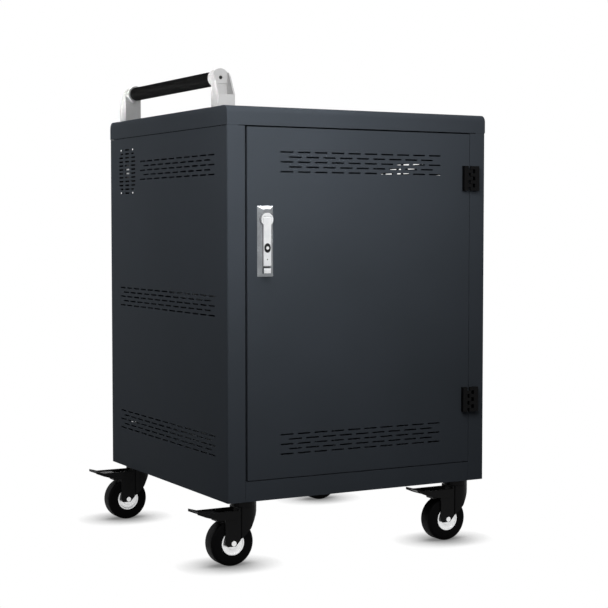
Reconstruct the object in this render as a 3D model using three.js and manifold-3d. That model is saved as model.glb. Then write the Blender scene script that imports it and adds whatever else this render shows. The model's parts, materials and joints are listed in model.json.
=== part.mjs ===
// Laptop charging cart: a sheet-steel cabinet with a vented front door, two racks for laptops, an adapter bay
// behind a partition, a push handle and four braked swivel casters.
// Millimetres. +X is the cart's right, +Y its back and +Z up, and the front door faces -Y.

import * as THREE from 'three';
import { mergeVertices } from 'three/addons/utils/BufferGeometryUtils.js';
import Module from 'manifold-3d';

const wasm = await Module();
wasm.setup();

// Cabinet shell
const CABINET_WIDTH = 626;
const CABINET_DEPTH = 629;
const CABINET_HEIGHT = 800;
const SHEET = 1.5;
const SEAT_GAP = 0.3; // between pieces that rest on or against each other
const CAP_HEIGHT = 39;
const CAP_EDGE_RADIUS = 15;
const CAP_SEAM = 1.4;
const POST_FACE = 39.5;
const POST_DEPTH = 24;
const POST_LIP = 14;
const POST_CORNER_RADIUS = 3.5;
const POST_WELD_WIDTH = 25; // outer part of a post's face, ground smooth where it meets the cap
const SILL_HEIGHT = 41;
const SILL_JOINT = 0.6;
const REAR_SILL_HEIGHT = 90;
const BASE_THICKNESS = 2;

// Vent slots
const SLOT_LENGTH = 30;
const SLOT_HEIGHT = 3;
const SLOT_PITCH = 40;
const SLOT_ROW_PITCH = 10;
const VENT_ROWS = 5;
const DOOR_VENT_SLOTS = 10;
const DOOR_VENT_INSET = 49;
const SIDE_VENT_SLOTS = 13;
const SIDE_TOP_VENT_SLOTS = 10;
const SIDE_VENT_MARGIN = 59.5;
const SIDE_TOP_VENT_DROP = 57.5;
const SIDE_MIDDLE_VENT_HEIGHT = 416;
const SIDE_LOWER_VENT_HEIGHT = 129.5;

// Fan behind the round grille
const GRILLE_RADIUS = 57;
const GRILLE_SHORTEST_SLOT = 4;
const GRILLE_SLOT_LENGTH = 24.5;
const GRILLE_SLOT_HEIGHT = 3.6;
const GRILLE_COLUMN_PITCH = 36;
const GRILLE_ROW_PITCH = 9;
const FAN_FROM_BACK = 103;
const FAN_DROP = 77.5;
const FAN_SIZE = 120;
const FAN_DEPTH = 25;
const FAN_BORE_RADIUS = 57;
const FAN_HUB_RADIUS = 19;
const FAN_HUB_GAP = 1;
const FAN_TIP_GAP = 2;
const FAN_STRUT = 4;
const FAN_STRUTS = 3;
const FAN_BLADES = 7;
const FAN_BLADE_THICKNESS = 2;
const FAN_BLADE_PITCH = 0.75; // radians from the plane of rotation

// Front door
const DOOR_DEPTH = 20;
const DOOR_LATCH_GAP = 5;
const DOOR_HINGE_GAP = 1.3;
const DOOR_TOP_GAP = 3;
const DOOR_BOTTOM_GAP = 2;

// Front door hinges
const HINGE_HEIGHT = 54;
const HINGE_LEAF_WIDTH = 19.5;
const HINGE_LEAF_THICKNESS = 8.8;
const HINGE_AXIS_RISE = 5.8; // above the back of the leaves
const HINGE_KNUCKLES = 7;
const HINGE_KNUCKLE_GAP = 0.4;
const HINGE_POCKET = 5.6; // between a knuckle and the leaf that doesn't own it
const HINGE_PIN_RADIUS = 1.6;
const HINGE_PIN_CLEARANCE = 0.3;
const UPPER_HINGE_DROP = 99;
const LOWER_HINGE_RISE = 139;

// Swing-handle lock
const LOCK_FROM_DOOR_EDGE = 40;
const LOCK_CENTRE_HEIGHT = 528;
const LOCK_WIDTH = 36;
const LOCK_HEIGHT = 143;
const LOCK_SIDE_BEVEL = 8.8;
const LOCK_END_BEVEL = 6.4;
const LOCK_RISE = 5;
const LOCK_BACK_WIDTH = 18;
const LOCK_BACK_HEIGHT = 112;
const LOCK_BACK_DEPTH = 14;
const LOCK_END_BLOCK_HEIGHT = 11.5;
const SPINDLE_RISE = 44; // above the lock's centre
const SPINDLE_DISC_RADIUS = 13.6;
const SPINDLE_DISC_THICKNESS = 3;
const SPINDLE_WELL_DEPTH = 2.8;
const SPINDLE_CHEEK = 4.9; // above the disc's face
const SPINDLE_RADIUS = 5;
const SPINDLE_CLEARANCE = 0.4;
const LEVER_LENGTH = 94;
const LEVER_WIDTH = 17;
const LEVER_TIP_BEVEL = 3;
const LEVER_SIDE_GAP = 0.4;
const LEVER_HEAD_GAP = 0.5;
const LEVER_PIVOT_RADIUS = 2.4;
const LEVER_PIVOT_RISE = 3; // above the spindle's axis
const TRUNNION_RADIUS = 1.3;
const TRUNNION_LENGTH = 2.6;
const TRUNNION_CLEARANCE = 0.4;
const KEY_DROP = 57.3; // below the spindle
const KEY_RADIUS = 3.2;
const KEY_RISE = 1.2;
const KEY_DEPTH = 3.2;
const CAM_LENGTH = 52;
const CAM_WIDTH = 16;
const CAM_THICKNESS = 3;
const CAM_CLEARANCE = 2;

// Rear door and its cam lock
const REAR_DOOR_DEPTH = 18;
const REAR_DOOR_GAP = 4;
const REAR_PIVOT_INSET = 10;
const REAR_PIVOT_DEPTH = 8;
const REAR_PIVOT_RADIUS = 4;
const REAR_PIVOT_LENGTH = 9;
const REAR_PIVOT_CLEARANCE = 0.4;
const REAR_LOCK_INSET = 24;
const REAR_LOCK_HEIGHT = 440;
const REAR_LOCK_RADIUS = 9;
const REAR_LOCK_CLEARANCE = 0.7;
const REAR_LOCK_HEAD_RADIUS = 12;
const REAR_LOCK_HEAD = 3;
const REAR_CAM_LENGTH = 38;

// Shelves, racks, partition and power strips
const PARTITION_FROM_BACK = 186;
const CABLE_PASS_WIDTH = 420;
const CABLE_PASS_HEIGHT = 30;
const CABLE_PASS_RISE = 230; // above each shelf
const MIDDLE_SHELF_HEIGHT = 400;
const SHELF_LIP = 20;
const RACK_BAYS = 12;
const RACK_PITCH = 44;
const RACK_DEPTH = 360;
const RACK_FRONT_INSET = 14;
const RACK_BASE = 2;
const FIN_THICKNESS = 2;
const FIN_HEIGHT = 120;
const FIN_CORNER_RADIUS = 40;
const STRIP_LENGTH = 480;
const STRIP_HEIGHT = 46;
const STRIP_DEPTH = 36;
const STRIP_OUTLETS = 8;
const STRIP_OUTLET_SIZE = 38;
const STRIP_OUTLET_RISE = 2;
const STRIP_OUTLET_PITCH = 56;
const STRIP_RISE = 120; // above each shelf

// Mains inlet and rocker switch in the rear sill
const INLET_FROM_SIDE = 130;
const INLET_WIDTH = 74;
const INLET_HEIGHT = 36;
const INLET_FLANGE = 2;
const INLET_RIM = 4;
const INLET_BODY_DEPTH = 20;
const SOCKET_WIDTH = 25;
const SOCKET_HEIGHT = 20;
const SOCKET_DEPTH = 16;
const SOCKET_OFFSET = 17;
const ROCKER_WIDTH = 14;
const ROCKER_HEIGHT = 22;
const ROCKER_OFFSET = 21;
const ROCKER_DEPTH = 9;
const ROCKER_PROUD = 3.4;
const ROCKER_CLEARANCE = 0.8;
const ROCKER_TILT = 0.2; // radians from level at rest

// Push handle along the left top edge
const HANDLE_INSET = 24;
const HANDLE_AXIS_RISE = 61;
const HANDLE_END_INSET = 50.5; // from the cabinet's front and back
const BRACKET_WIDTH = 37.5;
const BRACKET_DEPTH = 34;
const BRACKET_TOP_DEPTH = 6;
const BRACKET_BLOCK_HEIGHT = 25.2;
const BRACKET_WALL = 3.5;
const BRACKET_POCKET_FLOOR = 4;
const BRACKET_BOSS_DROP = 12;
const BRACKET_SEAT = 0.3; // depth of the shallow seat in the cap
const BRACKET_SEAT_MARGIN = 0.5;
const BRACKET_SCREW_RADIUS = 4;
const COLLAR_RADIUS = 18.3;
const COLLAR_LENGTH = 17.5;
const BAR_RADIUS = 12;
const GRIP_RADIUS = 15;

// Casters
const CASTER_INSET_X = 51.2;
const CASTER_INSET_Y = 33.5;
const CASTER_TRAIL = 33;
const STEM_RADIUS = 4;
const STEM_CLEARANCE = 0.4;
const STEM_NUT_RADIUS = 7;
const STEM_NUT = 6.5;
const RACE_HEIGHT = 11.2;
const RACE_GAP = 0.5;
const HEAD_RADIUS = 26.5;
const KINGPIN_RADIUS = 6;
const KINGPIN_HEAD_RADIUS = 10;
const KINGPIN_HEAD = 3;
const KINGPIN_CLEARANCE = 0.5;
const CROWN_THICKNESS = 3;
const CROWN_CLEARANCE = 21.6; // tyre to the underside of the fork's crown
const FORK_PLATE = 2.3;
const FORK_HUB_GAP = 0.4;
const FORK_LEG_BACK = 18;
const FORK_LEG_FRONT = 5;
const FORK_LEG_BELOW = 6.5;
const FORK_LEG_CORNER = 7;
const FORK_CHIN_X = 5; // where the nose's lower edge turns steeper, ahead of the kingpin
const FORK_CHIN_RISE = 28.5; // above the axle
const FORK_HEAD_RISE = 68; // front end of the nose's lower edge, above the axle
const WHEEL_DIAMETER = 95.4;
const TREAD_WIDTH = 36;
const TREAD_EDGE_RADIUS = 6;
const HUB_DIAMETER = 50;
const HUB_PROUD = 0.8;
const AXLE_RADIUS = 4;
const AXLE_CLEARANCE = 0.35;
const AXLE_HEAD_RADIUS = 5.5;
const AXLE_NUT_RADIUS = 7.5;
const AXLE_HEAD = 2;
const PEDAL_REACH = 113.6; // kingpin to the pedal's tip
const PEDAL_PIVOT_BACK = 9;
const PEDAL_PIVOT_RISE = 9.6; // above the tyre
const PEDAL_PIN_RADIUS = 3;
const PEDAL_PIN_CLEARANCE = 0.5;
const PEDAL_TOP_RISE = 9.2; // above the pedal's pivot
const PEDAL_PLATE = 2.5;
const PEDAL_CHEEK = 2.2;
const PEDAL_CHEEK_FRONT = 22; // ahead of the pedal's pivot
const PEDAL_CHEEK_CORNER = 9;
const PEDAL_CHEEK_DEPTH = 17;
const PEDAL_HEEL_BACK = 18; // behind the pedal's pivot
const PEDAL_WAIST_BACK = 33.5;
const PEDAL_WAIST_DEPTH = 13.6;
const PEDAL_TOE = 18.6;
const PEDAL_TOE_DEPTH = 7.7;
const PEDAL_TIP_RISE = 5.2;
const PEDAL_TIP_DEPTH = 5.5;
const PEDAL_TROUGH = 3; // from the cheeks' upper edges down to the plate
const PEDAL_ROOT_GAP = 11;
const PEDAL_SHOE_WIDTH = 28;
const PEDAL_SHOE_LENGTH = 9;
const PEDAL_SHOE_STEM = 10;
const PEDAL_SHOE_GAP = 4.1;
const PEDAL_SHOE_BACK = 24;

const ROUND = 24;
const SMALL_ROUND = 12;
const HEXAGON = 6;
const CURVE = 6; // steps along a curve of an outline
const COARSE_CURVE = 2;
const BEND_STEPS = 4;
const TREAD_CURVE = 1;
const WHEEL_ROUND = 28;
const OVERCUT = 1; // how far a cutting shape runs past the face that it cuts

// Places worked out from the sizes above
const AXLE_HEIGHT = WHEEL_DIAMETER / 2;
const CROWN_BOTTOM = WHEEL_DIAMETER + CROWN_CLEARANCE;
const FORK_TOP = CROWN_BOTTOM + CROWN_THICKNESS;
const RACE_BOTTOM = FORK_TOP + RACE_GAP;
const CASTER_TOP = RACE_BOTTOM + RACE_HEIGHT;
const BASE = CASTER_TOP + SEAT_GAP;
const TOP = BASE + CABINET_HEIGHT;
const LEFT = -CABINET_WIDTH / 2;
const RIGHT = CABINET_WIDTH / 2;
const FRONT = -CABINET_DEPTH / 2;
const BACK = CABINET_DEPTH / 2;
const CAP_BOTTOM = TOP - CAP_HEIGHT;
const SHELL_TOP = CAP_BOTTOM - CAP_SEAM;
const SILL_TOP = BASE + SILL_HEIGHT;
const REAR_SILL_TOP = BASE + REAR_SILL_HEIGHT;
const OPENING_LEFT = LEFT + POST_FACE;
const OPENING_RIGHT = RIGHT - POST_FACE;
const INNER_LEFT = LEFT + SHEET + SEAT_GAP;
const INNER_RIGHT = RIGHT - SHEET - SEAT_GAP;
const INNER_FRONT = FRONT + POST_DEPTH + SEAT_GAP;
const INNER_BACK = BACK - POST_DEPTH - SEAT_GAP;
const PARTITION_FRONT = BACK - PARTITION_FROM_BACK;
const PARTITION_BACK = PARTITION_FRONT + SHEET;
const LOWER_SHELF_TOP = SILL_TOP;
const MIDDLE_SHELF_TOP = BASE + MIDDLE_SHELF_HEIGHT;
const CASTER_X = CABINET_WIDTH / 2 - CASTER_INSET_X;
const CASTER_Y = CABINET_DEPTH / 2 - CASTER_INSET_Y;
const HANDLE_X = LEFT + HANDLE_INSET;
const HANDLE_Z = TOP + HANDLE_AXIS_RISE;
const HANDLE_END = CABINET_DEPTH / 2 - HANDLE_END_INSET;

// Materials
function paint(color, roughness, metalness) {
  return new THREE.MeshStandardMaterial({ color, roughness, metalness });
}

const ANTHRACITE = paint('#3b4147', 0.5, 0.1);
const BLACK_STEEL = paint('#161617', 0.4, 0.4);
const BLACK_ZINC_CAST = paint('#141414', 0.55, 0.2);
const CHROME = paint('#c9ccd0', 0.22, 1);
const ZINC = paint('#c3c6ca', 0.35, 1);
const LIGHT_GREY = paint('#e2e2e2', 0.45, 0);
const GRIP_RUBBER = paint('#121212', 0.7, 0);
const TYRE_RUBBER = paint('#101011', 0.75, 0);
const BLACK_PLASTIC = paint('#1a1a1b', 0.5, 0);
const RACK_GREY = paint('#8d9296', 0.6, 0);

// Solid from a closed geometry
function solid(geometry) {
  geometry.deleteAttribute('normal');
  geometry.deleteAttribute('uv');
  const merged = mergeVertices(geometry);
  const triVerts = new Uint32Array(merged.index.array);
  const vertProperties = new Float32Array(merged.attributes.position.array);
  return new wasm.Manifold(new wasm.Mesh({ numProp: 3, vertProperties, triVerts }));
}

// Box between two limits on each axis
function block([x0, x1], [y0, y1], [z0, z1]) {
  const geometry = new THREE.BoxGeometry(x1 - x0, y1 - y0, z1 - z0);
  geometry.translate((x0 + x1) / 2, (y0 + y1) / 2, (z0 + z1) / 2);
  return solid(geometry);
}

// Turns a shape's own x, y and depth onto the cart's axes
const ALONG = {
  x: new THREE.Matrix4().makeBasis(
    new THREE.Vector3(0, 1, 0), new THREE.Vector3(0, 0, 1), new THREE.Vector3(1, 0, 0)),
  y: new THREE.Matrix4().makeBasis(
    new THREE.Vector3(1, 0, 0), new THREE.Vector3(0, 0, 1), new THREE.Vector3(0, -1, 0)),
  z: new THREE.Matrix4(),
};

// Outline drawn in the two other axes and extruded along one axis
function prism(axis, shape, [from, to], curveSegments = CURVE) {
  const geometry = new THREE.ExtrudeGeometry(shape, { depth: to - from, bevelEnabled: false, curveSegments });
  geometry.translate(0, 0, axis === 'y' ? -to : from);
  geometry.applyMatrix4(ALONG[axis]);
  return solid(geometry);
}

const polygon = (points) => new THREE.Shape(points.map(([u, v]) => new THREE.Vector2(u, v)));

// Round bar along one axis; centre gives the two other coordinates in x, y, z order
function rod(axis, radius, [from, to], [u, v], segments = ROUND) {
  const circle = new THREE.Shape();
  circle.absarc(u, v, radius, 0, 2 * Math.PI);
  return prism(axis, circle, [from, to], segments / 2);
}

const joined = (solids) => solids.reduce((whole, piece) => whole.add(piece));
const cut = (whole, solids) => solids.reduce((rest, piece) => rest.subtract(piece), whole);

// Named mesh of a solid
function part(name, body, material) {
  const { vertProperties, triVerts } = body.getMesh();
  const geometry = new THREE.BufferGeometry();
  geometry.setAttribute('position', new THREE.BufferAttribute(vertProperties, 3));
  geometry.setIndex(new THREE.BufferAttribute(triVerts, 1));
  geometry.computeVertexNormals();
  const mesh = new THREE.Mesh(geometry, material);
  mesh.name = name;
  return mesh;
}

function assembly(...children) {
  const group = new THREE.Group();
  group.add(...children);
  return group;
}

// Centres of a staggered group of slots, from the start of its first slot and the height of its top row
function ventSlots(firstSlot, topRow, slotsPerRow) {
  const centres = [];
  for (let row = 0; row < VENT_ROWS; row += 1) {
    const staggered = row % 2;
    const start = firstSlot + SLOT_LENGTH / 2 + (staggered * SLOT_PITCH) / 2;
    for (let slot = 0; slot < slotsPerRow - staggered; slot += 1) {
      centres.push([start + slot * SLOT_PITCH, topRow - row * SLOT_ROW_PITCH]);
    }
  }
  return centres;
}

const ventWidth = (slotsPerRow) => (slotsPerRow - 1) * SLOT_PITCH + SLOT_LENGTH;
const VENT_HEIGHT = (VENT_ROWS - 1) * SLOT_ROW_PITCH;
const around = (centre, size) => [centre - size / 2, centre + size / 2];

// Roof with rounded front and back edges, flat ends and a lip folded inward over each door
function topCap() {
  const roof = (inset, bottom) => {
    const radius = CAP_EDGE_RADIUS - inset;
    const arch = new THREE.Shape();
    arch.moveTo(FRONT + inset, bottom);
    arch.lineTo(BACK - inset, bottom);
    arch.absarc(BACK - CAP_EDGE_RADIUS, TOP - CAP_EDGE_RADIUS, radius, 0, Math.PI / 2);
    arch.absarc(FRONT + CAP_EDGE_RADIUS, TOP - CAP_EDGE_RADIUS, radius, Math.PI / 2, Math.PI);
    return prism('x', arch, [LEFT + inset, RIGHT - inset]);
  };
  const lip = (yRange) => block([LEFT, RIGHT], yRange, [CAP_BOTTOM, CAP_BOTTOM + SHEET]);
  const shell = joined([
    roof(0, CAP_BOTTOM).subtract(roof(SHEET, CAP_BOTTOM - OVERCUT)),
    lip([FRONT, FRONT + POST_DEPTH]),
    lip([BACK - POST_DEPTH, BACK]),
  ]);
  const pivotHole = rod('z', REAR_PIVOT_RADIUS + REAR_PIVOT_CLEARANCE,
    [CAP_BOTTOM - OVERCUT, CAP_BOTTOM + SHEET + OVERCUT], [REAR_PIVOT_X, REAR_PIVOT_Y], SMALL_ROUND);
  const seatMiddle = HANDLE_END - BRACKET_DEPTH / 2;
  const bracketSeats = [-seatMiddle, seatMiddle].map((y) => block(
    [LEFT - OVERCUT, HANDLE_X + BRACKET_WIDTH / 2 + BRACKET_SEAT_MARGIN],
    around(y, BRACKET_DEPTH + 2 * BRACKET_SEAT_MARGIN), [TOP - BRACKET_SEAT, TOP + OVERCUT]));
  return part('top_cap', cut(shell, [pivotHole, ...bracketSeats]), ANTHRACITE);
}

// Three columns of slots cut off by the circle of the fan: the span in Y and the height of each
function grilleSlots(centreY, centreZ) {
  const slots = [];
  const rows = 2 * Math.floor(GRILLE_RADIUS / GRILLE_ROW_PITCH);
  for (let row = 0; row < rows; row += 1) {
    const drop = (row - (rows - 1) / 2) * GRILLE_ROW_PITCH;
    const reach = Math.sqrt(GRILLE_RADIUS ** 2 - drop ** 2);
    for (let column = -1; column <= 1; column += 1) {
      const [from, to] = around(column * GRILLE_COLUMN_PITCH, GRILLE_SLOT_LENGTH);
      const span = [centreY + Math.max(from, -reach), centreY + Math.min(to, reach)];
      if (span[1] - span[0] >= GRILLE_SHORTEST_SLOT) {
        slots.push([span, centreZ - drop]);
      }
    }
  }
  return slots;
}

const FAN_Y = BACK - FAN_FROM_BACK;
const FAN_Z = CAP_BOTTOM - FAN_DROP;

// Flat side with three groups of vent slots and any slots of a grille
function sidePanel(name, outerX, innerX, grille) {
  const xRange = [Math.min(outerX, innerX), Math.max(outerX, innerX)];
  const xCut = [xRange[0] - OVERCUT, xRange[1] + OVERCUT];
  const edge = POST_CORNER_RADIUS + SEAT_GAP;
  const sheet = block(xRange, [FRONT + edge, BACK - edge], [BASE, SHELL_TOP]);
  const first = FRONT + SIDE_VENT_MARGIN;
  const vents = [
    ...ventSlots(first, CAP_BOTTOM - SIDE_TOP_VENT_DROP, SIDE_TOP_VENT_SLOTS),
    ...ventSlots(first, BASE + SIDE_MIDDLE_VENT_HEIGHT, SIDE_VENT_SLOTS),
    ...ventSlots(first, BASE + SIDE_LOWER_VENT_HEIGHT, SIDE_VENT_SLOTS),
  ];
  const slots = vents.map(([y, z]) => block(xCut, around(y, SLOT_LENGTH), around(z, SLOT_HEIGHT)));
  const grilleCuts = grille.map(([span, z]) => block(xCut, span, around(z, GRILLE_SLOT_HEIGHT)));
  return part(name, cut(sheet, [...slots, ...grilleCuts]), ANTHRACITE);
}

// Section of a folded post, from its corner: across is measured inward from the side, along from the face
function postSection(cornerX, acrossSign, cornerY, alongSign) {
  const bend = [];
  for (let step = 0; step <= BEND_STEPS; step += 1) {
    const angle = (step / BEND_STEPS) * (Math.PI / 2);
    bend.push([1 - Math.cos(angle), 1 - Math.sin(angle)]);
  }
  const innerRadius = POST_CORNER_RADIUS - SHEET;
  const outer = bend.map(([a, b]) => [a * POST_CORNER_RADIUS, b * POST_CORNER_RADIUS]);
  const inner = bend.map(([a, b]) => [SHEET + a * innerRadius, SHEET + b * innerRadius]).reverse();
  const section = [
    ...outer,
    [POST_FACE, 0],
    [POST_FACE, POST_DEPTH],
    [POST_FACE - POST_LIP, POST_DEPTH],
    [POST_FACE - POST_LIP, POST_DEPTH - SHEET],
    [POST_FACE - SHEET, POST_DEPTH - SHEET],
    [POST_FACE - SHEET, SHEET],
    ...inner,
  ];
  return polygon(section.map(([a, b]) => [cornerX + acrossSign * a, cornerY + alongSign * b]));
}

// Front post: its seam with the cap shows only on the inner part of its face
function frontPost(name, cornerX, acrossSign) {
  const body = prism('z', postSection(cornerX, acrossSign, FRONT, 1), [BASE, CAP_BOTTOM - SEAT_GAP]);
  const inner = cornerX + acrossSign * (POST_FACE + OVERCUT);
  const weld = cornerX + acrossSign * POST_WELD_WIDTH;
  const seam = block([Math.min(inner, weld), Math.max(inner, weld)],
    [FRONT - OVERCUT, FRONT + POST_DEPTH + OVERCUT], [SHELL_TOP, CAP_BOTTOM]);
  return part(name, body.subtract(seam), ANTHRACITE);
}

// Channel folded from sheet, open towards the inside
function sillSection(faceY, sign, height) {
  const section = [
    [0, 0], [POST_DEPTH, 0], [POST_DEPTH, SHEET], [SHEET, SHEET],
    [SHEET, height - SHEET], [POST_DEPTH, height - SHEET], [POST_DEPTH, height], [0, height],
  ];
  return polygon(section.map(([along, rise]) => [faceY + sign * along, BASE + rise]));
}

function frontSill() {
  const span = [OPENING_LEFT + SILL_JOINT, OPENING_RIGHT - SILL_JOINT];
  return part('front_sill', prism('x', sillSection(FRONT, 1, SILL_HEIGHT), span), ANTHRACITE);
}

const INLET_X = RIGHT - INLET_FROM_SIDE;
const INLET_Z = BASE + REAR_SILL_HEIGHT / 2;
const REAR_DOOR_LEFT = OPENING_LEFT + REAR_DOOR_GAP;
const REAR_DOOR_RIGHT = OPENING_RIGHT - REAR_DOOR_GAP;
const REAR_DOOR_BOTTOM = REAR_SILL_TOP + REAR_DOOR_GAP;
const REAR_DOOR_TOP = CAP_BOTTOM - REAR_DOOR_GAP;
const REAR_PIVOT_X = REAR_DOOR_RIGHT - REAR_PIVOT_INSET;
const REAR_PIVOT_Y = BACK - REAR_PIVOT_DEPTH;

// Two posts and a tall sill welded into one frame round the rear door
function rearFrame() {
  const height = [BASE, CAP_BOTTOM - SEAT_GAP];
  const leftPost = prism('z', postSection(LEFT, 1, BACK, -1), height);
  const rightPost = prism('z', postSection(RIGHT, -1, BACK, -1), height);
  const span = [OPENING_LEFT - SHEET / 2, OPENING_RIGHT + SHEET / 2];
  const sill = prism('x', sillSection(BACK, -1, REAR_SILL_HEIGHT), span);
  const inletHole = block(around(INLET_X, INLET_WIDTH - 2 * INLET_RIM + 2 * SEAT_GAP),
    [BACK - SHEET - OVERCUT, BACK + OVERCUT],
    around(INLET_Z, INLET_HEIGHT - 2 * INLET_RIM + 2 * SEAT_GAP));
  const pivotHole = rod('z', REAR_PIVOT_RADIUS + REAR_PIVOT_CLEARANCE,
    [REAR_SILL_TOP - SHEET - OVERCUT, REAR_SILL_TOP + OVERCUT], [REAR_PIVOT_X, REAR_PIVOT_Y], SMALL_ROUND);
  const frame = joined([leftPost, rightPost, sill]);
  return part('rear_frame', cut(frame, [inletHole, pivotHole]), ANTHRACITE);
}

// Floor of the cabinet with its edges folded up to carry the lower shelf and the partition
function basePan() {
  const outer = block([INNER_LEFT, INNER_RIGHT], [INNER_FRONT, INNER_BACK],
    [BASE, LOWER_SHELF_TOP - SHEET - SEAT_GAP]);
  const hollow = block([INNER_LEFT + SHEET, INNER_RIGHT - SHEET], [INNER_FRONT + SHEET, INNER_BACK - SHEET],
    [BASE + BASE_THICKNESS, LOWER_SHELF_TOP]);
  const stemHole = (x, y) => rod('z', STEM_RADIUS + STEM_CLEARANCE,
    [BASE - OVERCUT, BASE + BASE_THICKNESS + OVERCUT], [x, y], SMALL_ROUND);
  const stemHoles = [
    stemHole(-CASTER_X, -CASTER_Y), stemHole(CASTER_X, -CASTER_Y),
    stemHole(-CASTER_X, CASTER_Y), stemHole(CASTER_X, CASTER_Y),
  ];
  return part('base_pan', cut(outer, [hollow, ...stemHoles]), ANTHRACITE);
}

// Shelf between the side panels, with any lip folded down all round
function shelf(name, top, lip) {
  const yRange = [INNER_FRONT, PARTITION_FRONT - SEAT_GAP];
  const tray = block([INNER_LEFT, INNER_RIGHT], yRange, [top - SHEET - lip, top]);
  const hollow = block([INNER_LEFT + SHEET, INNER_RIGHT - SHEET], [yRange[0] + SHEET, yRange[1] - SHEET],
    [top - SHEET - lip - OVERCUT, top - SHEET]);
  return part(name, lip > 0 ? tray.subtract(hollow) : tray, ANTHRACITE);
}

// Wall between the laptops and their adapters, with a wide cable pass for each shelf
function partitionPanel() {
  const bottom = LOWER_SHELF_TOP - SHEET;
  const sheet = block([INNER_LEFT, INNER_RIGHT], [PARTITION_FRONT, PARTITION_BACK], [bottom, SHELL_TOP]);
  const passes = [LOWER_SHELF_TOP, MIDDLE_SHELF_TOP].map((shelfTop) => block(around(0, CABLE_PASS_WIDTH),
    [PARTITION_FRONT - OVERCUT, PARTITION_BACK + OVERCUT],
    around(shelfTop + CABLE_PASS_RISE, CABLE_PASS_HEIGHT)));
  return part('partition_panel', cut(sheet, passes), ANTHRACITE);
}

// Comb of upright fins that keeps the laptops apart
function dividerRack(name, shelfTop) {
  const width = RACK_BAYS * RACK_PITCH + FIN_THICKNESS;
  const front = INNER_FRONT + RACK_FRONT_INSET;
  const back = front + RACK_DEPTH;
  const bottom = shelfTop + SEAT_GAP;
  const top = bottom + FIN_HEIGHT;
  const side = new THREE.Shape();
  side.moveTo(front, bottom);
  side.lineTo(back, bottom);
  side.lineTo(back, top);
  side.absarc(front + FIN_CORNER_RADIUS, top - FIN_CORNER_RADIUS, FIN_CORNER_RADIUS, Math.PI / 2, Math.PI);
  const solids = [block(around(0, width), [front, back], [bottom, bottom + RACK_BASE])];
  for (let fin = 0; fin <= RACK_BAYS; fin += 1) {
    const x = (fin - RACK_BAYS / 2) * RACK_PITCH;
    solids.push(prism('x', side, around(x, FIN_THICKNESS), COARSE_CURVE));
  }
  return part(name, joined(solids), RACK_GREY);
}

// Long strip of outlets on the back of the partition
function powerStrip(name, shelfTop) {
  const front = PARTITION_BACK + SEAT_GAP;
  const back = front + STRIP_DEPTH;
  const z = shelfTop + STRIP_RISE;
  const solids = [block(around(0, STRIP_LENGTH), [front, back], around(z, STRIP_HEIGHT))];
  for (let outlet = 0; outlet < STRIP_OUTLETS; outlet += 1) {
    const x = (outlet - (STRIP_OUTLETS - 1) / 2) * STRIP_OUTLET_PITCH;
    solids.push(block(around(x, STRIP_OUTLET_SIZE), [back - OVERCUT, back + STRIP_OUTLET_RISE],
      around(z, STRIP_OUTLET_SIZE)));
  }
  return part(name, joined(solids), BLACK_PLASTIC);
}

// Square fan frame on the inside of the left panel, its motor held by three struts
function fanFrame() {
  const outer = INNER_LEFT;
  const inner = outer + FAN_DEPTH;
  const strutRange = [inner - FAN_STRUT, inner];
  const body = block([outer, inner], around(FAN_Y, FAN_SIZE), around(FAN_Z, FAN_SIZE));
  const bore = rod('x', FAN_BORE_RADIUS, [outer - OVERCUT, inner + OVERCUT], [FAN_Y, FAN_Z], WHEEL_ROUND);
  const solids = [body.subtract(bore), rod('x', FAN_HUB_RADIUS, strutRange, [FAN_Y, FAN_Z])];
  for (let strut = 0; strut < FAN_STRUTS; strut += 1) {
    const angle = (strut * 2 * Math.PI) / FAN_STRUTS;
    const arm = new THREE.BoxGeometry(FAN_STRUT, FAN_BORE_RADIUS, FAN_STRUT);
    arm.translate(inner - FAN_STRUT / 2, FAN_BORE_RADIUS / 2 + OVERCUT, 0);
    arm.rotateX(angle);
    arm.translate(0, FAN_Y, FAN_Z);
    solids.push(solid(arm));
  }
  return part('fan_frame', joined(solids), BLACK_PLASTIC);
}

// Hub with pitched blades, turning in the fan frame
function fanRotor() {
  const from = INNER_LEFT + FAN_HUB_GAP;
  const to = INNER_LEFT + FAN_DEPTH - FAN_STRUT - SEAT_GAP;
  const tip = FAN_BORE_RADIUS - FAN_TIP_GAP;
  const depth = to - from;
  const chord = depth / Math.sin(FAN_BLADE_PITCH) - 2 * FAN_BLADE_THICKNESS;
  const solids = [rod('x', FAN_HUB_RADIUS, [from, to], [FAN_Y, FAN_Z])];
  for (let blade = 0; blade < FAN_BLADES; blade += 1) {
    const vane = new THREE.BoxGeometry(FAN_BLADE_THICKNESS, tip - FAN_HUB_RADIUS / 2, chord);
    vane.rotateY(Math.PI / 2 - FAN_BLADE_PITCH);
    vane.translate((from + to) / 2, (tip + FAN_HUB_RADIUS / 2) / 2, 0);
    vane.rotateX((blade * 2 * Math.PI) / FAN_BLADES);
    vane.translate(0, FAN_Y, FAN_Z);
    solids.push(solid(vane));
  }
  const swept = rod('x', tip, [from, to], [FAN_Y, FAN_Z], WHEEL_ROUND);
  return part('fan_rotor', joined(solids).intersect(swept), BLACK_PLASTIC);
}

const ROCKER_X = INLET_X + ROCKER_OFFSET;

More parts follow.
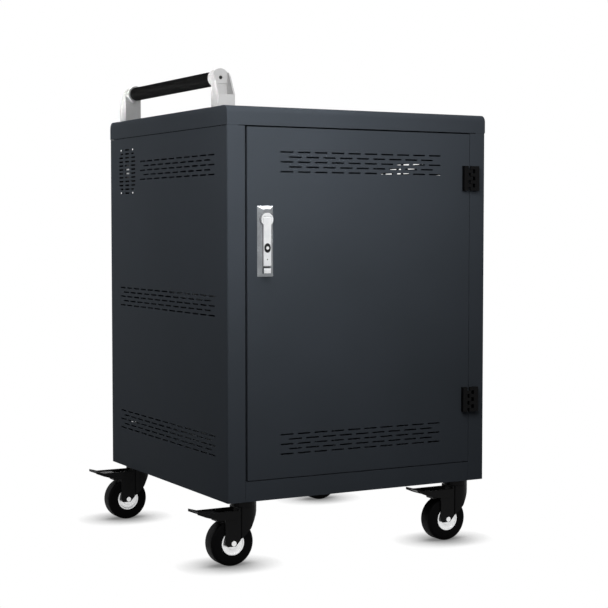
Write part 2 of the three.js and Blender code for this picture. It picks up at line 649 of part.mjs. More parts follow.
// Flanged inlet with a socket for a lead and a window for the rocker switch
function mainsInlet() {
  const flange = block(around(INLET_X, INLET_WIDTH), [BACK + SEAT_GAP, BACK + SEAT_GAP + INLET_FLANGE],
    around(INLET_Z, INLET_HEIGHT));
  const bodyRange = [BACK - INLET_BODY_DEPTH, BACK + SEAT_GAP + OVERCUT];
  const body = block(around(INLET_X, INLET_WIDTH - 2 * INLET_RIM), bodyRange,
    around(INLET_Z, INLET_HEIGHT - 2 * INLET_RIM));
  const mouth = BACK + SEAT_GAP + INLET_FLANGE;
  const socket = block(around(INLET_X - SOCKET_OFFSET + INLET_RIM, SOCKET_WIDTH),
    [mouth - SOCKET_DEPTH, mouth + OVERCUT], around(INLET_Z, SOCKET_HEIGHT));
  const window = block(around(ROCKER_X, ROCKER_WIDTH + 2 * SEAT_GAP),
    [mouth - INLET_BODY_DEPTH + INLET_RIM, mouth + OVERCUT],
    around(INLET_Z, ROCKER_HEIGHT + 2 * ROCKER_CLEARANCE));
  return part('mains_inlet', cut(flange.add(body), [socket, window]), BLACK_PLASTIC);
}

// Rocker whose two faces meet in a shallow valley, resting with its upper half pressed in
function rockerSwitch() {
  const half = ROCKER_HEIGHT / 2;
  const face = BACK + SEAT_GAP + INLET_FLANGE;
  const rise = half * Math.tan(ROCKER_TILT);
  const ridge = polygon([
    [-ROCKER_DEPTH, -half / 2], [-ROCKER_DEPTH, half / 2], [0, half * Math.cos(ROCKER_TILT)],
    [ROCKER_PROUD, half * Math.cos(ROCKER_TILT)], [ROCKER_PROUD - rise, 0],
    [ROCKER_PROUD, -half * Math.cos(ROCKER_TILT)], [0, -half * Math.cos(ROCKER_TILT)],
  ]);
  const geometry = new THREE.ExtrudeGeometry(ridge, { depth: ROCKER_WIDTH, bevelEnabled: false });
  geometry.translate(0, 0, -ROCKER_WIDTH / 2);
  geometry.applyMatrix4(ALONG.x);
  geometry.rotateX(ROCKER_TILT);
  geometry.translate(ROCKER_X, face, INLET_Z);
  return part('rocker_switch', solid(geometry), BLACK_PLASTIC);
}

// Folded door pan with a group of vent slots below each given top row; inward is the sign of the way in
function doorPan([left, right], [bottom, top], faceY, inward, depth, topRows) {
  const yRange = (from, to) => [faceY + inward * from, faceY + inward * to].sort((a, b) => a - b);
  const pan = block([left, right], yRange(0, depth), [bottom, top]);
  const hollow = block([left + SHEET, right - SHEET], yRange(SHEET, depth + OVERCUT),
    [bottom + SHEET, top - SHEET]);
  const first = (left + right - ventWidth(DOOR_VENT_SLOTS)) / 2;
  const vents = topRows.flatMap((topRow) => ventSlots(first, topRow, DOOR_VENT_SLOTS));
  const slots = vents.map(([x, z]) => block(
    around(x, SLOT_LENGTH), yRange(-OVERCUT, SHEET + OVERCUT), around(z, SLOT_HEIGHT)));
  return cut(pan, [hollow, ...slots]);
}

const DOOR_LEFT = OPENING_LEFT + DOOR_LATCH_GAP;
const DOOR_RIGHT = OPENING_RIGHT - DOOR_HINGE_GAP;
const DOOR_BOTTOM = SILL_TOP + DOOR_BOTTOM_GAP;
const DOOR_TOP = CAP_BOTTOM - DOOR_TOP_GAP;
const LOCK_X = DOOR_LEFT + LOCK_FROM_DOOR_EDGE;
const LOCK_Z = BASE + LOCK_CENTRE_HEIGHT;
const SPINDLE_Z = LOCK_Z + SPINDLE_RISE;
const LOCK_FACE_Y = FRONT - SEAT_GAP - LOCK_RISE;

function frontDoor() {
  const topRows = [DOOR_TOP - DOOR_VENT_INSET, DOOR_BOTTOM + DOOR_VENT_INSET + VENT_HEIGHT];
  const pan = doorPan([DOOR_LEFT, DOOR_RIGHT], [DOOR_BOTTOM, DOOR_TOP], FRONT, 1, DOOR_DEPTH, topRows);
  const lockHole = block(around(LOCK_X, LOCK_BACK_WIDTH + 2 * SEAT_GAP),
    [FRONT - OVERCUT, FRONT + SHEET + OVERCUT], around(LOCK_Z, LOCK_BACK_HEIGHT + 2 * SEAT_GAP));
  return part('front_door', pan.subtract(lockHole), ANTHRACITE);
}

const HINGE_X = OPENING_RIGHT - DOOR_HINGE_GAP / 2;
const HINGE_Y = FRONT - SEAT_GAP - HINGE_AXIS_RISE;
const HINGE_KNUCKLE_RADIUS = HINGE_LEAF_THICKNESS - HINGE_AXIS_RISE;

// Leaf with every second knuckle, flush with its face; side is -1 for the door's leaf and 1 for the frame's
function hingeLeaf(name, centreZ, side) {
  const bottom = centreZ - HINGE_HEIGHT / 2;
  const step = HINGE_HEIGHT / HINGE_KNUCKLES;
  const clear = HINGE_KNUCKLE_RADIUS + HINGE_POCKET;
  const xRange = (from, to) => [HINGE_X + side * from, HINGE_X + side * to].sort((a, b) => a - b);
  const yRange = [FRONT - SEAT_GAP - HINGE_LEAF_THICKNESS, FRONT - SEAT_GAP];
  const solids = [block(xRange(clear, HINGE_LEAF_WIDTH), yRange, [bottom, bottom + HINGE_HEIGHT])];
  for (let knuckle = side < 0 ? 1 : 0; knuckle < HINGE_KNUCKLES; knuckle += 2) {
    const zRange = [
      bottom + knuckle * step + HINGE_KNUCKLE_GAP / 2,
      bottom + (knuckle + 1) * step - HINGE_KNUCKLE_GAP / 2,
    ];
    solids.push(rod('z', HINGE_KNUCKLE_RADIUS, zRange, [HINGE_X, HINGE_Y], SMALL_ROUND));
    solids.push(block(xRange(0, clear + OVERCUT), [yRange[0], HINGE_Y], zRange));
  }
  const bore = rod('z', HINGE_PIN_RADIUS + HINGE_PIN_CLEARANCE,
    [bottom - OVERCUT, bottom + HINGE_HEIGHT + OVERCUT], [HINGE_X, HINGE_Y], SMALL_ROUND);
  return part(name, joined(solids).subtract(bore), BLACK_ZINC_CAST);
}

function hinge(prefix, centreZ) {
  const zRange = around(centreZ, HINGE_HEIGHT);
  const pin = rod('z', HINGE_PIN_RADIUS, zRange, [HINGE_X, HINGE_Y], SMALL_ROUND);
  return assembly(
    hingeLeaf(`${prefix}_hinge_frame_leaf`, centreZ, 1),
    hingeLeaf(`${prefix}_hinge_door_leaf`, centreZ, -1),
    part(`${prefix}_hinge_pin`, pin, BLACK_STEEL),
  );
}

const WELL_FLOOR_Y = LOCK_FACE_Y + SPINDLE_WELL_DEPTH;
const DISC_FACE_Y = WELL_FLOOR_Y - SEAT_GAP - SPINDLE_DISC_THICKNESS;
const LEVER_BACK_Y = DISC_FACE_Y - SEAT_GAP;
const LEVER_PIVOT_Y = LEVER_BACK_Y - LEVER_PIVOT_RADIUS;
const LEVER_FACE_Y = LEVER_PIVOT_Y - LEVER_PIVOT_RADIUS;
const LEVER_PIVOT_Z = SPINDLE_Z + LEVER_PIVOT_RISE;
const CAM_Y = FRONT + Math.max(POST_DEPTH, DOOR_DEPTH) + CAM_CLEARANCE;

// Bevelled lock base with a well for the spindle, an end block below the lever and a body through the door
function lockHousing() {
  const bevelled = new THREE.BoxGeometry(LOCK_WIDTH, LOCK_RISE, LOCK_HEIGHT);
  const corners = bevelled.attributes.position;
  for (let corner = 0; corner < corners.count; corner += 1) {
    if (corners.getY(corner) < 0) {
      corners.setX(corner, corners.getX(corner) - Math.sign(corners.getX(corner)) * LOCK_SIDE_BEVEL);
      corners.setZ(corner, corners.getZ(corner) - Math.sign(corners.getZ(corner)) * LOCK_END_BEVEL);
    }
  }
  bevelled.translate(LOCK_X, LOCK_FACE_Y + LOCK_RISE / 2, LOCK_Z);
  const endBottom = LOCK_Z - LOCK_HEIGHT / 2 + LOCK_END_BEVEL;
  const endBlock = block(around(LOCK_X, LEVER_WIDTH), [LEVER_FACE_Y, LOCK_FACE_Y + OVERCUT],
    [endBottom, endBottom + LOCK_END_BLOCK_HEIGHT]);
  const back = block(around(LOCK_X, LOCK_BACK_WIDTH), [FRONT - SEAT_GAP - OVERCUT, FRONT + LOCK_BACK_DEPTH],
    around(LOCK_Z, LOCK_BACK_HEIGHT));
  const bore = rod('y', SPINDLE_RADIUS + SPINDLE_CLEARANCE,
    [LOCK_FACE_Y - OVERCUT, FRONT + LOCK_BACK_DEPTH + OVERCUT], [LOCK_X, SPINDLE_Z], SMALL_ROUND);
  const well = rod('y', SPINDLE_DISC_RADIUS + SPINDLE_CLEARANCE, [LOCK_FACE_Y - OVERCUT, WELL_FLOOR_Y],
    [LOCK_X, SPINDLE_Z]);
  const housing = joined([solid(bevelled), endBlock, back]);
  return part('lock_housing', cut(housing, [bore, well]), CHROME);
}

// Turning disc with a raised rim round the lever's root, its shaft, and the cam that swings behind the post
function lockSpindle() {
  const centre = [LOCK_X, SPINDLE_Z];
  const head = rod('y', SPINDLE_DISC_RADIUS, [DISC_FACE_Y - SPINDLE_CHEEK, WELL_FLOOR_Y - SEAT_GAP], centre);
  const leverSlot = block(
    around(LOCK_X, LEVER_WIDTH + 2 * LEVER_SIDE_GAP), [LEVER_FACE_Y - OVERCUT, DISC_FACE_Y],
    [SPINDLE_Z - SPINDLE_DISC_RADIUS - OVERCUT, LEVER_PIVOT_Z + LEVER_PIVOT_RADIUS + LEVER_HEAD_GAP]);
  const pivotHole = rod('x', TRUNNION_RADIUS + TRUNNION_CLEARANCE,
    around(LOCK_X, LEVER_WIDTH + 2 * (TRUNNION_LENGTH + TRUNNION_CLEARANCE)),
    [LEVER_PIVOT_Y, LEVER_PIVOT_Z], SMALL_ROUND);
  const shaftRange = [WELL_FLOOR_Y - SEAT_GAP - OVERCUT, CAM_Y + CAM_THICKNESS];
  const shaft = rod('y', SPINDLE_RADIUS, shaftRange, centre, SMALL_ROUND);
  const camRange = [CAM_Y, CAM_Y + CAM_THICKNESS];
  const arm = new THREE.Shape();
  arm.moveTo(LOCK_X + CAM_WIDTH / 2, SPINDLE_Z + CAM_LENGTH);
  arm.lineTo(LOCK_X - CAM_WIDTH / 2, SPINDLE_Z + CAM_LENGTH);
  arm.absarc(LOCK_X, SPINDLE_Z, CAM_WIDTH / 2, Math.PI, 2 * Math.PI);
  const cam = prism('y', arm, camRange);
  return part('lock_spindle', joined([cut(head, [leverSlot, pivotHole]), shaft, cam]), CHROME);
}

// Lever that lies on the housing and lifts on two trunnions in the spindle's rim
function lockLever() {
  const span = around(LOCK_X, LEVER_WIDTH);
  const pivot = [LEVER_PIVOT_Y, LEVER_PIVOT_Z];
  const tip = SPINDLE_Z - LEVER_LENGTH;
  const side = polygon([
    [LEVER_FACE_Y, LEVER_PIVOT_Z], [LEVER_BACK_Y, LEVER_PIVOT_Z], [LEVER_BACK_Y, tip],
    [LEVER_FACE_Y + LEVER_TIP_BEVEL / 2, tip], [LEVER_FACE_Y, tip + LEVER_TIP_BEVEL],
  ]);
  const lever = joined([
    prism('x', side, span),
    rod('x', LEVER_PIVOT_RADIUS, span, pivot, SMALL_ROUND),
    rod('x', TRUNNION_RADIUS, around(LOCK_X, LEVER_WIDTH + 2 * TRUNNION_LENGTH), pivot, SMALL_ROUND),
  ]);
  const keyHole = rod('y', KEY_RADIUS + SEAT_GAP,
    [LEVER_FACE_Y - OVERCUT, LEVER_FACE_Y + KEY_DEPTH + SEAT_GAP],
    [LOCK_X, SPINDLE_Z - KEY_DROP], SMALL_ROUND);
  return part('lock_lever', lever.subtract(keyHole), CHROME);
}

function lockCylinder() {
  const centre = [LOCK_X, SPINDLE_Z - KEY_DROP];
  const barrel = rod('y', KEY_RADIUS, [LEVER_FACE_Y - KEY_RISE, LEVER_FACE_Y + KEY_DEPTH],
    centre, SMALL_ROUND);
  const keyway = block(around(LOCK_X, SHEET), [LEVER_FACE_Y - KEY_RISE - OVERCUT, LEVER_FACE_Y],
    around(SPINDLE_Z - KEY_DROP, KEY_RADIUS));
  return part('lock_cylinder', barrel.subtract(keyway), ZINC);
}

const REAR_LOCK_X = REAR_DOOR_LEFT + REAR_LOCK_INSET;
const REAR_LOCK_Z = BASE + REAR_LOCK_HEIGHT;

// Rear door pan that turns on two pins, one in the cap's lip and one in the rear sill
function rearDoor() {
  const pan = doorPan([REAR_DOOR_LEFT, REAR_DOOR_RIGHT], [REAR_DOOR_BOTTOM, REAR_DOOR_TOP],
    BACK, -1, REAR_DOOR_DEPTH, [REAR_DOOR_TOP - DOOR_VENT_INSET]);
  const lockHole = rod('y', REAR_LOCK_RADIUS + REAR_LOCK_CLEARANCE, [BACK - SHEET - OVERCUT, BACK + OVERCUT],
    [REAR_LOCK_X, REAR_LOCK_Z], SMALL_ROUND);
  const pin = (zRange) => rod('z', REAR_PIVOT_RADIUS, zRange, [REAR_PIVOT_X, REAR_PIVOT_Y], SMALL_ROUND);
  const pins = [
    pin([REAR_DOOR_TOP - SHEET, REAR_DOOR_TOP + REAR_PIVOT_LENGTH]),
    pin([REAR_DOOR_BOTTOM - REAR_PIVOT_LENGTH, REAR_DOOR_BOTTOM + SHEET]),
  ];
  return part('rear_door', joined([pan.subtract(lockHole), ...pins]), ANTHRACITE);
}

// Cam lock: a round head outside the door, its barrel, and a cam that swings behind the rear post
function rearLock() {
  const centre = [REAR_LOCK_X, REAR_LOCK_Z];
  const camBack = BACK - Math.max(POST_DEPTH, REAR_DOOR_DEPTH) - CAM_CLEARANCE;
  const camRange = [camBack - CAM_THICKNESS, camBack];
  const solids = [
    rod('y', REAR_LOCK_HEAD_RADIUS, [BACK + SEAT_GAP, BACK + SEAT_GAP + REAR_LOCK_HEAD], centre),
    rod('y', REAR_LOCK_RADIUS, [camRange[0], BACK + SEAT_GAP + OVERCUT], centre, SMALL_ROUND),
    block(around(REAR_LOCK_X, CAM_WIDTH), camRange, [REAR_LOCK_Z, REAR_LOCK_Z + REAR_CAM_LENGTH]),
  ];
  return part('rear_lock', joined(solids), CHROME);
}

// Cast bracket with a round top on the bar's axis and an open pocket in its sloping outer face
function handleBracket(name, outward) {
  const innerY = outward * (HANDLE_END - BRACKET_DEPTH);
  const at = (distance) => innerY + outward * distance;
  const span = (from, to) => [at(from), at(to)].sort((a, b) => a - b);
  const bottom = TOP - BRACKET_SEAT + SEAT_GAP;
  const radius = BRACKET_WIDTH / 2;
  const top = HANDLE_Z + radius;
  const blockTop = TOP + BRACKET_BLOCK_HEIGHT;
  const face = new THREE.Shape();
  face.moveTo(HANDLE_X - radius, bottom);
  face.lineTo(HANDLE_X + radius, bottom);
  face.absarc(HANDLE_X, HANDLE_Z, radius, 0, Math.PI);
  const slope = polygon([
    [at(0), bottom], [at(BRACKET_DEPTH), bottom], [at(BRACKET_DEPTH), blockTop],
    [at(BRACKET_TOP_DEPTH), top], [at(0), top],
  ]);
  const body = prism('y', face, span(0, BRACKET_DEPTH))
    .intersect(prism('x', slope, [HANDLE_X - radius - OVERCUT, HANDLE_X + radius + OVERCUT]));
  const pocketRange = around(HANDLE_X, BRACKET_WIDTH - 2 * BRACKET_WALL);
  const pocket = block(pocketRange, span(BRACKET_TOP_DEPTH, BRACKET_DEPTH + OVERCUT),
    [blockTop, top + OVERCUT]);
  const belowBoss = block(pocketRange, span(BRACKET_POCKET_FLOOR, BRACKET_DEPTH),
    [blockTop, HANDLE_Z - BRACKET_BOSS_DROP]);
  const screwHole = rod('y', BRACKET_SCREW_RADIUS, span(-OVERCUT, BRACKET_DEPTH),
    [HANDLE_X, HANDLE_Z], SMALL_ROUND);
  return part(name, cut(body, [pocket, belowBoss, screwHole]), LIGHT_GREY);
}

// Bar with a collar at each end, held between the brackets
function handleBar() {
  const end = HANDLE_END - BRACKET_DEPTH - SEAT_GAP;
  const centre = [HANDLE_X, HANDLE_Z];
  const solids = [
    rod('y', BAR_RADIUS, [-end, end], centre),
    rod('y', COLLAR_RADIUS, [-end, -end + COLLAR_LENGTH], centre),
    rod('y', COLLAR_RADIUS, [end - COLLAR_LENGTH, end], centre),
  ];
  return part('handle_bar', joined(solids), LIGHT_GREY);
}

function handleGrip() {
  const end = HANDLE_END - BRACKET_DEPTH - COLLAR_LENGTH - 2 * SEAT_GAP;
  const sleeve = rod('y', GRIP_RADIUS, [-end, end], [HANDLE_X, HANDLE_Z]);
  const bore = rod('y', BAR_RADIUS + SEAT_GAP, [-end - OVERCUT, end + OVERCUT], [HANDLE_X, HANDLE_Z]);
  return part('handle_grip', sleeve.subtract(bore), GRIP_RUBBER);
}

// Caster pieces, about the kingpin at x = 0, y = 0 with the floor at z = 0 and the wheel trailing to -X
const AXLE_X = -CASTER_TRAIL;
const HUB_HALF = TREAD_WIDTH / 2 + HUB_PROUD;
const FORK_INNER = HUB_HALF + FORK_HUB_GAP;
const FORK_OUTER = FORK_INNER + FORK_PLATE;
const AXLE_CENTRE = [AXLE_X, AXLE_HEIGHT];

// Upper race with the kingpin that holds the fork, and the stem and nut that hold it to the base pan
function casterHead(name) {
  const nutBottom = BASE + BASE_THICKNESS + SEAT_GAP;
  const solids = [
    rod('z', HEAD_RADIUS, [RACE_BOTTOM, CASTER_TOP], [0, 0]),
    rod('z', STEM_RADIUS, [CASTER_TOP - OVERCUT, nutBottom + OVERCUT], [0, 0], SMALL_ROUND),
    rod('z', STEM_NUT_RADIUS, [nutBottom, nutBottom + STEM_NUT], [0, 0], HEXAGON),
    rod('z', KINGPIN_RADIUS, [CROWN_BOTTOM - KINGPIN_HEAD, RACE_BOTTOM + OVERCUT], [0, 0], SMALL_ROUND),
    rod('z', KINGPIN_HEAD_RADIUS, [CROWN_BOTTOM - KINGPIN_CLEARANCE - KINGPIN_HEAD,
      CROWN_BOTTOM - KINGPIN_CLEARANCE], [0, 0], SMALL_ROUND),
  ];
  return part(name, joined(solids), BLACK_STEEL);
}

const FORK_BACK_X = AXLE_X - FORK_LEG_BACK;
const LEG_BOTTOM = AXLE_HEIGHT - FORK_LEG_BELOW;
const NOSE_START = -Math.sqrt(HEAD_RADIUS ** 2 - FORK_OUTER ** 2);
const PEDAL_PIVOT = [AXLE_X - PEDAL_PIVOT_BACK, WHEEL_DIAMETER + PEDAL_PIVOT_RISE];

// Height of the sloping lower edge of the fork, between its leg and its chin
function chinEdge(x) {
  const start = AXLE_X + FORK_LEG_FRONT;
  const chin = AXLE_HEIGHT + FORK_CHIN_RISE;
  return LEG_BOTTOM + ((x - start) * (chin - LEG_BOTTOM)) / (FORK_CHIN_X - start);
}

// Flat side of the fork from the axle's leg to the crown
function forkSide() {
  const flatEnd = NOSE_START + FORK_PLATE;
  const side = new THREE.Shape();
  side.moveTo(FORK_BACK_X, FORK_TOP);
  side.lineTo(FORK_BACK_X, LEG_BOTTOM + FORK_LEG_CORNER);
  side.absarc(FORK_BACK_X + FORK_LEG_CORNER, LEG_BOTTOM + FORK_LEG_CORNER, FORK_LEG_CORNER,
    Math.PI, 1.5 * Math.PI);
  side.lineTo(AXLE_X + FORK_LEG_FRONT, LEG_BOTTOM);
  side.lineTo(flatEnd, chinEdge(flatEnd));
  side.lineTo(flatEnd, FORK_TOP);
  return side;
}

// Fork pressed from plate: two sides, a round nose about the kingpin and a crown under the race
function casterFork(name) {
  const sides = [-1, 1].map((y) => prism('y', forkSide(),
    [y * FORK_INNER, y * FORK_OUTER].sort((a, b) => a - b), COARSE_CURVE));
  const nose = rod('z', HEAD_RADIUS, [0, FORK_TOP], [0, 0]).subtract(
    rod('z', HEAD_RADIUS - FORK_PLATE, [-OVERCUT, FORK_TOP + OVERCUT], [0, 0]));
  const headEdge = AXLE_HEIGHT + FORK_HEAD_RISE;
  const noseSide = polygon([
    [NOSE_START, chinEdge(NOSE_START)], [FORK_CHIN_X, chinEdge(FORK_CHIN_X)], [HEAD_RADIUS, headEdge],
    [HEAD_RADIUS + OVERCUT, headEdge], [HEAD_RADIUS + OVERCUT, FORK_TOP], [NOSE_START, FORK_TOP],
  ]);
  const wheelSlot = block([-HEAD_RADIUS, 0], [-FORK_INNER, FORK_INNER], [0, CROWN_BOTTOM]);
  const noseBand = prism('y', noseSide, [-HEAD_RADIUS - OVERCUT, HEAD_RADIUS + OVERCUT]).subtract(wheelSlot);
  const crown = joined([
    rod('z', HEAD_RADIUS, [CROWN_BOTTOM, FORK_TOP], [0, 0]),
    block([FORK_BACK_X, 0], [-FORK_OUTER, FORK_OUTER], [CROWN_BOTTOM, FORK_TOP]),
  ]);
  const kingpinHole = rod('z', KINGPIN_RADIUS + KINGPIN_CLEARANCE,
    [CROWN_BOTTOM - OVERCUT, FORK_TOP + OVERCUT], [0, 0], SMALL_ROUND);
  const throughSides = [-FORK_OUTER - OVERCUT, FORK_OUTER + OVERCUT];
  const axleHole = rod('y', AXLE_RADIUS + AXLE_CLEARANCE, throughSides, AXLE_CENTRE, SMALL_ROUND);
  const pedalHole = rod('y', PEDAL_PIN_RADIUS + PEDAL_PIN_CLEARANCE, throughSides, PEDAL_PIVOT, SMALL_ROUND);
  const fork = joined([...sides, nose.intersect(noseBand), crown]);
  return part(name, cut(fork, [kingpinHole, axleHole, pedalHole]), BLACK_STEEL);
}

// Bolt through the fork and hub, with a round head in front and a hexagon nut behind
function casterAxle(name) {
  const face = FORK_OUTER + SEAT_GAP;
  const solids = [
    rod('y', AXLE_RADIUS, [-face - OVERCUT, face + OVERCUT], AXLE_CENTRE, SMALL_ROUND),
    rod('y', AXLE_HEAD_RADIUS, [-face - AXLE_HEAD, -face], AXLE_CENTRE, SMALL_ROUND),
    rod('y', AXLE_NUT_RADIUS, [face, face + AXLE_HEAD], AXLE_CENTRE, HEXAGON),
  ];
  return part(name, joined(solids), ZINC);
}

// Ring turned about the axle from half of its section, given as points of radius and width
function turned(section) {
  const points = section.getPoints(TREAD_CURVE);
  return solid(new THREE.LatheGeometry([...points, points[0]], WHEEL_ROUND));
}

function casterTyre(name) {
  const half = TREAD_WIDTH / 2;
  const outer = WHEEL_DIAMETER / 2;
  const inner = HUB_DIAMETER / 2 + SEAT_GAP;
  const section = new THREE.Shape();
  section.moveTo(inner, -half);
  section.lineTo(outer - TREAD_EDGE_RADIUS, -half);
  section.absarc(outer - TREAD_EDGE_RADIUS, -half + TREAD_EDGE_RADIUS, TREAD_EDGE_RADIUS, -Math.PI / 2, 0);
  section.absarc(outer - TREAD_EDGE_RADIUS, half - TREAD_EDGE_RADIUS, TREAD_EDGE_RADIUS, 0, Math.PI / 2);
  section.lineTo(inner, half);
  const tyre = part(name, turned(section), TYRE_RUBBER);
  tyre.position.set(AXLE_X, 0, AXLE_HEIGHT);
  return tyre;
}

function casterHub(name) {
  const disc = rod('y', HUB_DIAMETER / 2, [-HUB_HALF, HUB_HALF], AXLE_CENTRE, WHEEL_ROUND);
  const bore = rod('y', AXLE_RADIUS + AXLE_CLEARANCE, [-HUB_HALF - OVERCUT, HUB_HALF + OVERCUT],
    AXLE_CENTRE, SMALL_ROUND);
  return part(name, disc.subtract(bore), ZINC);
}

// Brake pedal: a plate with a raised toe, a cheek outside each side of the fork, the pin that joins the
// cheeks through the fork, and a shoe above the tyre
function casterPedal(name) {
  const [pivotX, pivotZ] = PEDAL_PIVOT;
  const topZ = pivotZ + PEDAL_TOP_RISE;
  const plateZ = topZ - PEDAL_TROUGH;
  const tip = [-PEDAL_REACH, topZ + PEDAL_TIP_RISE];
  const toeX = -PEDAL_REACH + PEDAL_TOE;
  const rootX = FORK_BACK_X - PEDAL_ROOT_GAP;
  const frontX = pivotX + PEDAL_CHEEK_FRONT;
  const lowZ = topZ - PEDAL_CHEEK_DEPTH;
  const cheek = polygon([
    tip, [tip[0], tip[1] - PEDAL_TIP_DEPTH], [toeX, topZ - PEDAL_TOE_DEPTH],
    [pivotX - PEDAL_WAIST_BACK, topZ - PEDAL_WAIST_DEPTH], [pivotX - PEDAL_HEEL_BACK, lowZ],
    [frontX - PEDAL_CHEEK_CORNER, lowZ], [frontX, lowZ + PEDAL_CHEEK_CORNER], [frontX, topZ], [toeX, topZ],
  ]);
  const plate = polygon([
    tip, [tip[0], tip[1] - PEDAL_PLATE], [toeX, plateZ - PEDAL_PLATE], [rootX, plateZ - PEDAL_PLATE],
    [rootX, plateZ], [toeX, plateZ],
  ]);
  const shoeX = AXLE_X - PEDAL_SHOE_BACK;
  const shoeZ = AXLE_HEIGHT + Math.sqrt((WHEEL_DIAMETER / 2 + PEDAL_SHOE_GAP) ** 2 - PEDAL_SHOE_BACK ** 2);
  const shoe = polygon([
    [shoeX, shoeZ], [shoeX, shoeZ + PEDAL_CHEEK], [rootX, plateZ - PEDAL_PLATE / 2],
    [rootX - PEDAL_SHOE_STEM, plateZ - PEDAL_PLATE / 2], [shoeX - PEDAL_SHOE_LENGTH, shoeZ],
  ]);
  const inner = FORK_OUTER + SEAT_GAP;
  const outer = inner + PEDAL_CHEEK;
  const solids = [
    prism('y', plate, [-outer, outer]),
    prism('y', cheek, [-outer, -inner]),
    prism('y', cheek, [inner, outer]),
    prism('y', shoe, around(0, PEDAL_SHOE_WIDTH)),
    rod('y', PEDAL_PIN_RADIUS, [-outer + PEDAL_CHEEK / 2, outer - PEDAL_CHEEK / 2], PEDAL_PIVOT, SMALL_ROUND),
  ];
  return part(name, joined(solids), BLACK_STEEL);
}

function caster(corner, x, y) {
  const group = assembly(
    casterHead(`${corner}_caster_head`),
    casterFork(`${corner}_caster_fork`),
    casterAxle(`${corner}_caster_axle`),
    casterTyre(`${corner}_caster_tyre`),
    casterHub(`${corner}_caster_hub`),
    casterPedal(`${corner}_caster_pedal`),
  );
  group.position.set(x, y, 0);
  return group;
}

const shell = assembly(
  topCap(),
  sidePanel('left_side_panel', LEFT, LEFT + SHEET, grilleSlots(FAN_Y, FAN_Z)),
  sidePanel('right_side_panel', RIGHT, RIGHT - SHEET, []),
  frontPost('front_left_post', LEFT, 1),
  frontPost('front_right_post', RIGHT, -1),
  frontSill(),
  rearFrame(),
  basePan(),
);

const interior = assembly(
  shelf('lower_shelf', LOWER_SHELF_TOP, 0),
  shelf('middle_shelf', MIDDLE_SHELF_TOP, SHELF_LIP),
  partitionPanel(),
  dividerRack('lower_divider_rack', LOWER_SHELF_TOP),
  dividerRack('upper_divider_rack', MIDDLE_SHELF_TOP),
  powerStrip('lower_power_strip', LOWER_SHELF_TOP),
  powerStrip('upper_power_strip', MIDDLE_SHELF_TOP),
  fanFrame(),
  fanRotor(),
  mainsInlet(),
  rockerSwitch(),
);

const doors = assembly(
  frontDoor(),
  hinge('upper', CAP_BOTTOM - UPPER_HINGE_DROP),
  hinge('lower', SILL_TOP + LOWER_HINGE_RISE),
  lockHousing(),
  lockSpindle(),
  lockLever(),
  lockCylinder(),
  rearDoor(),
  rearLock(),
);

const handle = assembly(
  handleBracket('front_handle_bracket', -1),
  handleBracket('rear_handle_bracket', 1),
  handleBar(),
  handleGrip(),
);

const casters = assembly(
  caster('front_left', -CASTER_X, -CASTER_Y),
  caster('front_right', CASTER_X, -CASTER_Y),
  caster('rear_left', -CASTER_X, CASTER_Y),
  caster('rear_right', CASTER_X, CASTER_Y),
);

const cart = assembly(shell, interior, doors, handle, casters);

// The origin is on the floor, at the middle of the cart's whole outline
const extent = new THREE.Box3().setFromObject(cart);
const middle = extent.getCenter(new THREE.Vector3());
cart.position.set(-middle.x, -middle.y, -extent.min.z);

export default cart;
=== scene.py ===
"""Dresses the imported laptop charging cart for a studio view: finishes, screws, wheels, lock and electrics."""

import json
import logging
import math
from collections.abc import Callable, Iterable
from dataclasses import dataclass
from enum import Enum

import bmesh
import bpy
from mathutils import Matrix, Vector

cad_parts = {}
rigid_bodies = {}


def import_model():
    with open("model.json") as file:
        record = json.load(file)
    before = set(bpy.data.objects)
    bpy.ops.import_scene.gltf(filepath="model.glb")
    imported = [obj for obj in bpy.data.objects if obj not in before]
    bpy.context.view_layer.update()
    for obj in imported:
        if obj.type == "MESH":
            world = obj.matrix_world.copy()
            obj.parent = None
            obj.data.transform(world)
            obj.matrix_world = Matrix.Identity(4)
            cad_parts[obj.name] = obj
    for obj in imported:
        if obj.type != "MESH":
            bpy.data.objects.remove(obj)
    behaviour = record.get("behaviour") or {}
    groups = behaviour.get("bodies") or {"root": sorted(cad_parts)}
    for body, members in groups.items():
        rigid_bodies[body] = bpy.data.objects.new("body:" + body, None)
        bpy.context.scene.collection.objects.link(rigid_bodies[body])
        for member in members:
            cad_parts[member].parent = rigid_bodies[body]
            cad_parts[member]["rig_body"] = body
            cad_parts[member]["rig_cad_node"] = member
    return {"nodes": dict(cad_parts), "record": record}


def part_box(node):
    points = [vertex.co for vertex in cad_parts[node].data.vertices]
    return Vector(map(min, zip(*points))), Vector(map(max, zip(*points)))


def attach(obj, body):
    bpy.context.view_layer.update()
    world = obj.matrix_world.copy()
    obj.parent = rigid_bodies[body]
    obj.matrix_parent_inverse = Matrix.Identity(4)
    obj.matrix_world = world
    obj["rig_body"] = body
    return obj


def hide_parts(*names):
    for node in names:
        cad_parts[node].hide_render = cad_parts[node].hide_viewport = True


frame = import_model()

LOG = logging.getLogger("charging_cart")
MM = 0.001
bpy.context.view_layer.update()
CORNERS = ("front_left", "front_right", "rear_left", "rear_right")
HINGES = ("upper", "lower")
TIERS = ("lower", "upper")
NEAR = 0.02 * MM
# Least share of a unit normal along an axis for a face to count as facing that way
FACES = 0.9
# How far a cutter reaches past the face that it cuts, in millimetres
OVERCUT = 1.0
# Noise values between which a finish goes from its shade to its colour
MOTTLE_LOW, MOTTLE_HIGH = 0.3, 0.7
MOTTLE_DETAIL = 4.0
GRAIN_DETAIL = 3.0
# Brush lines run up the piece, so their pattern is drawn out along Z
BRUSH_SCALE = (1.0, 1.0, 0.04)


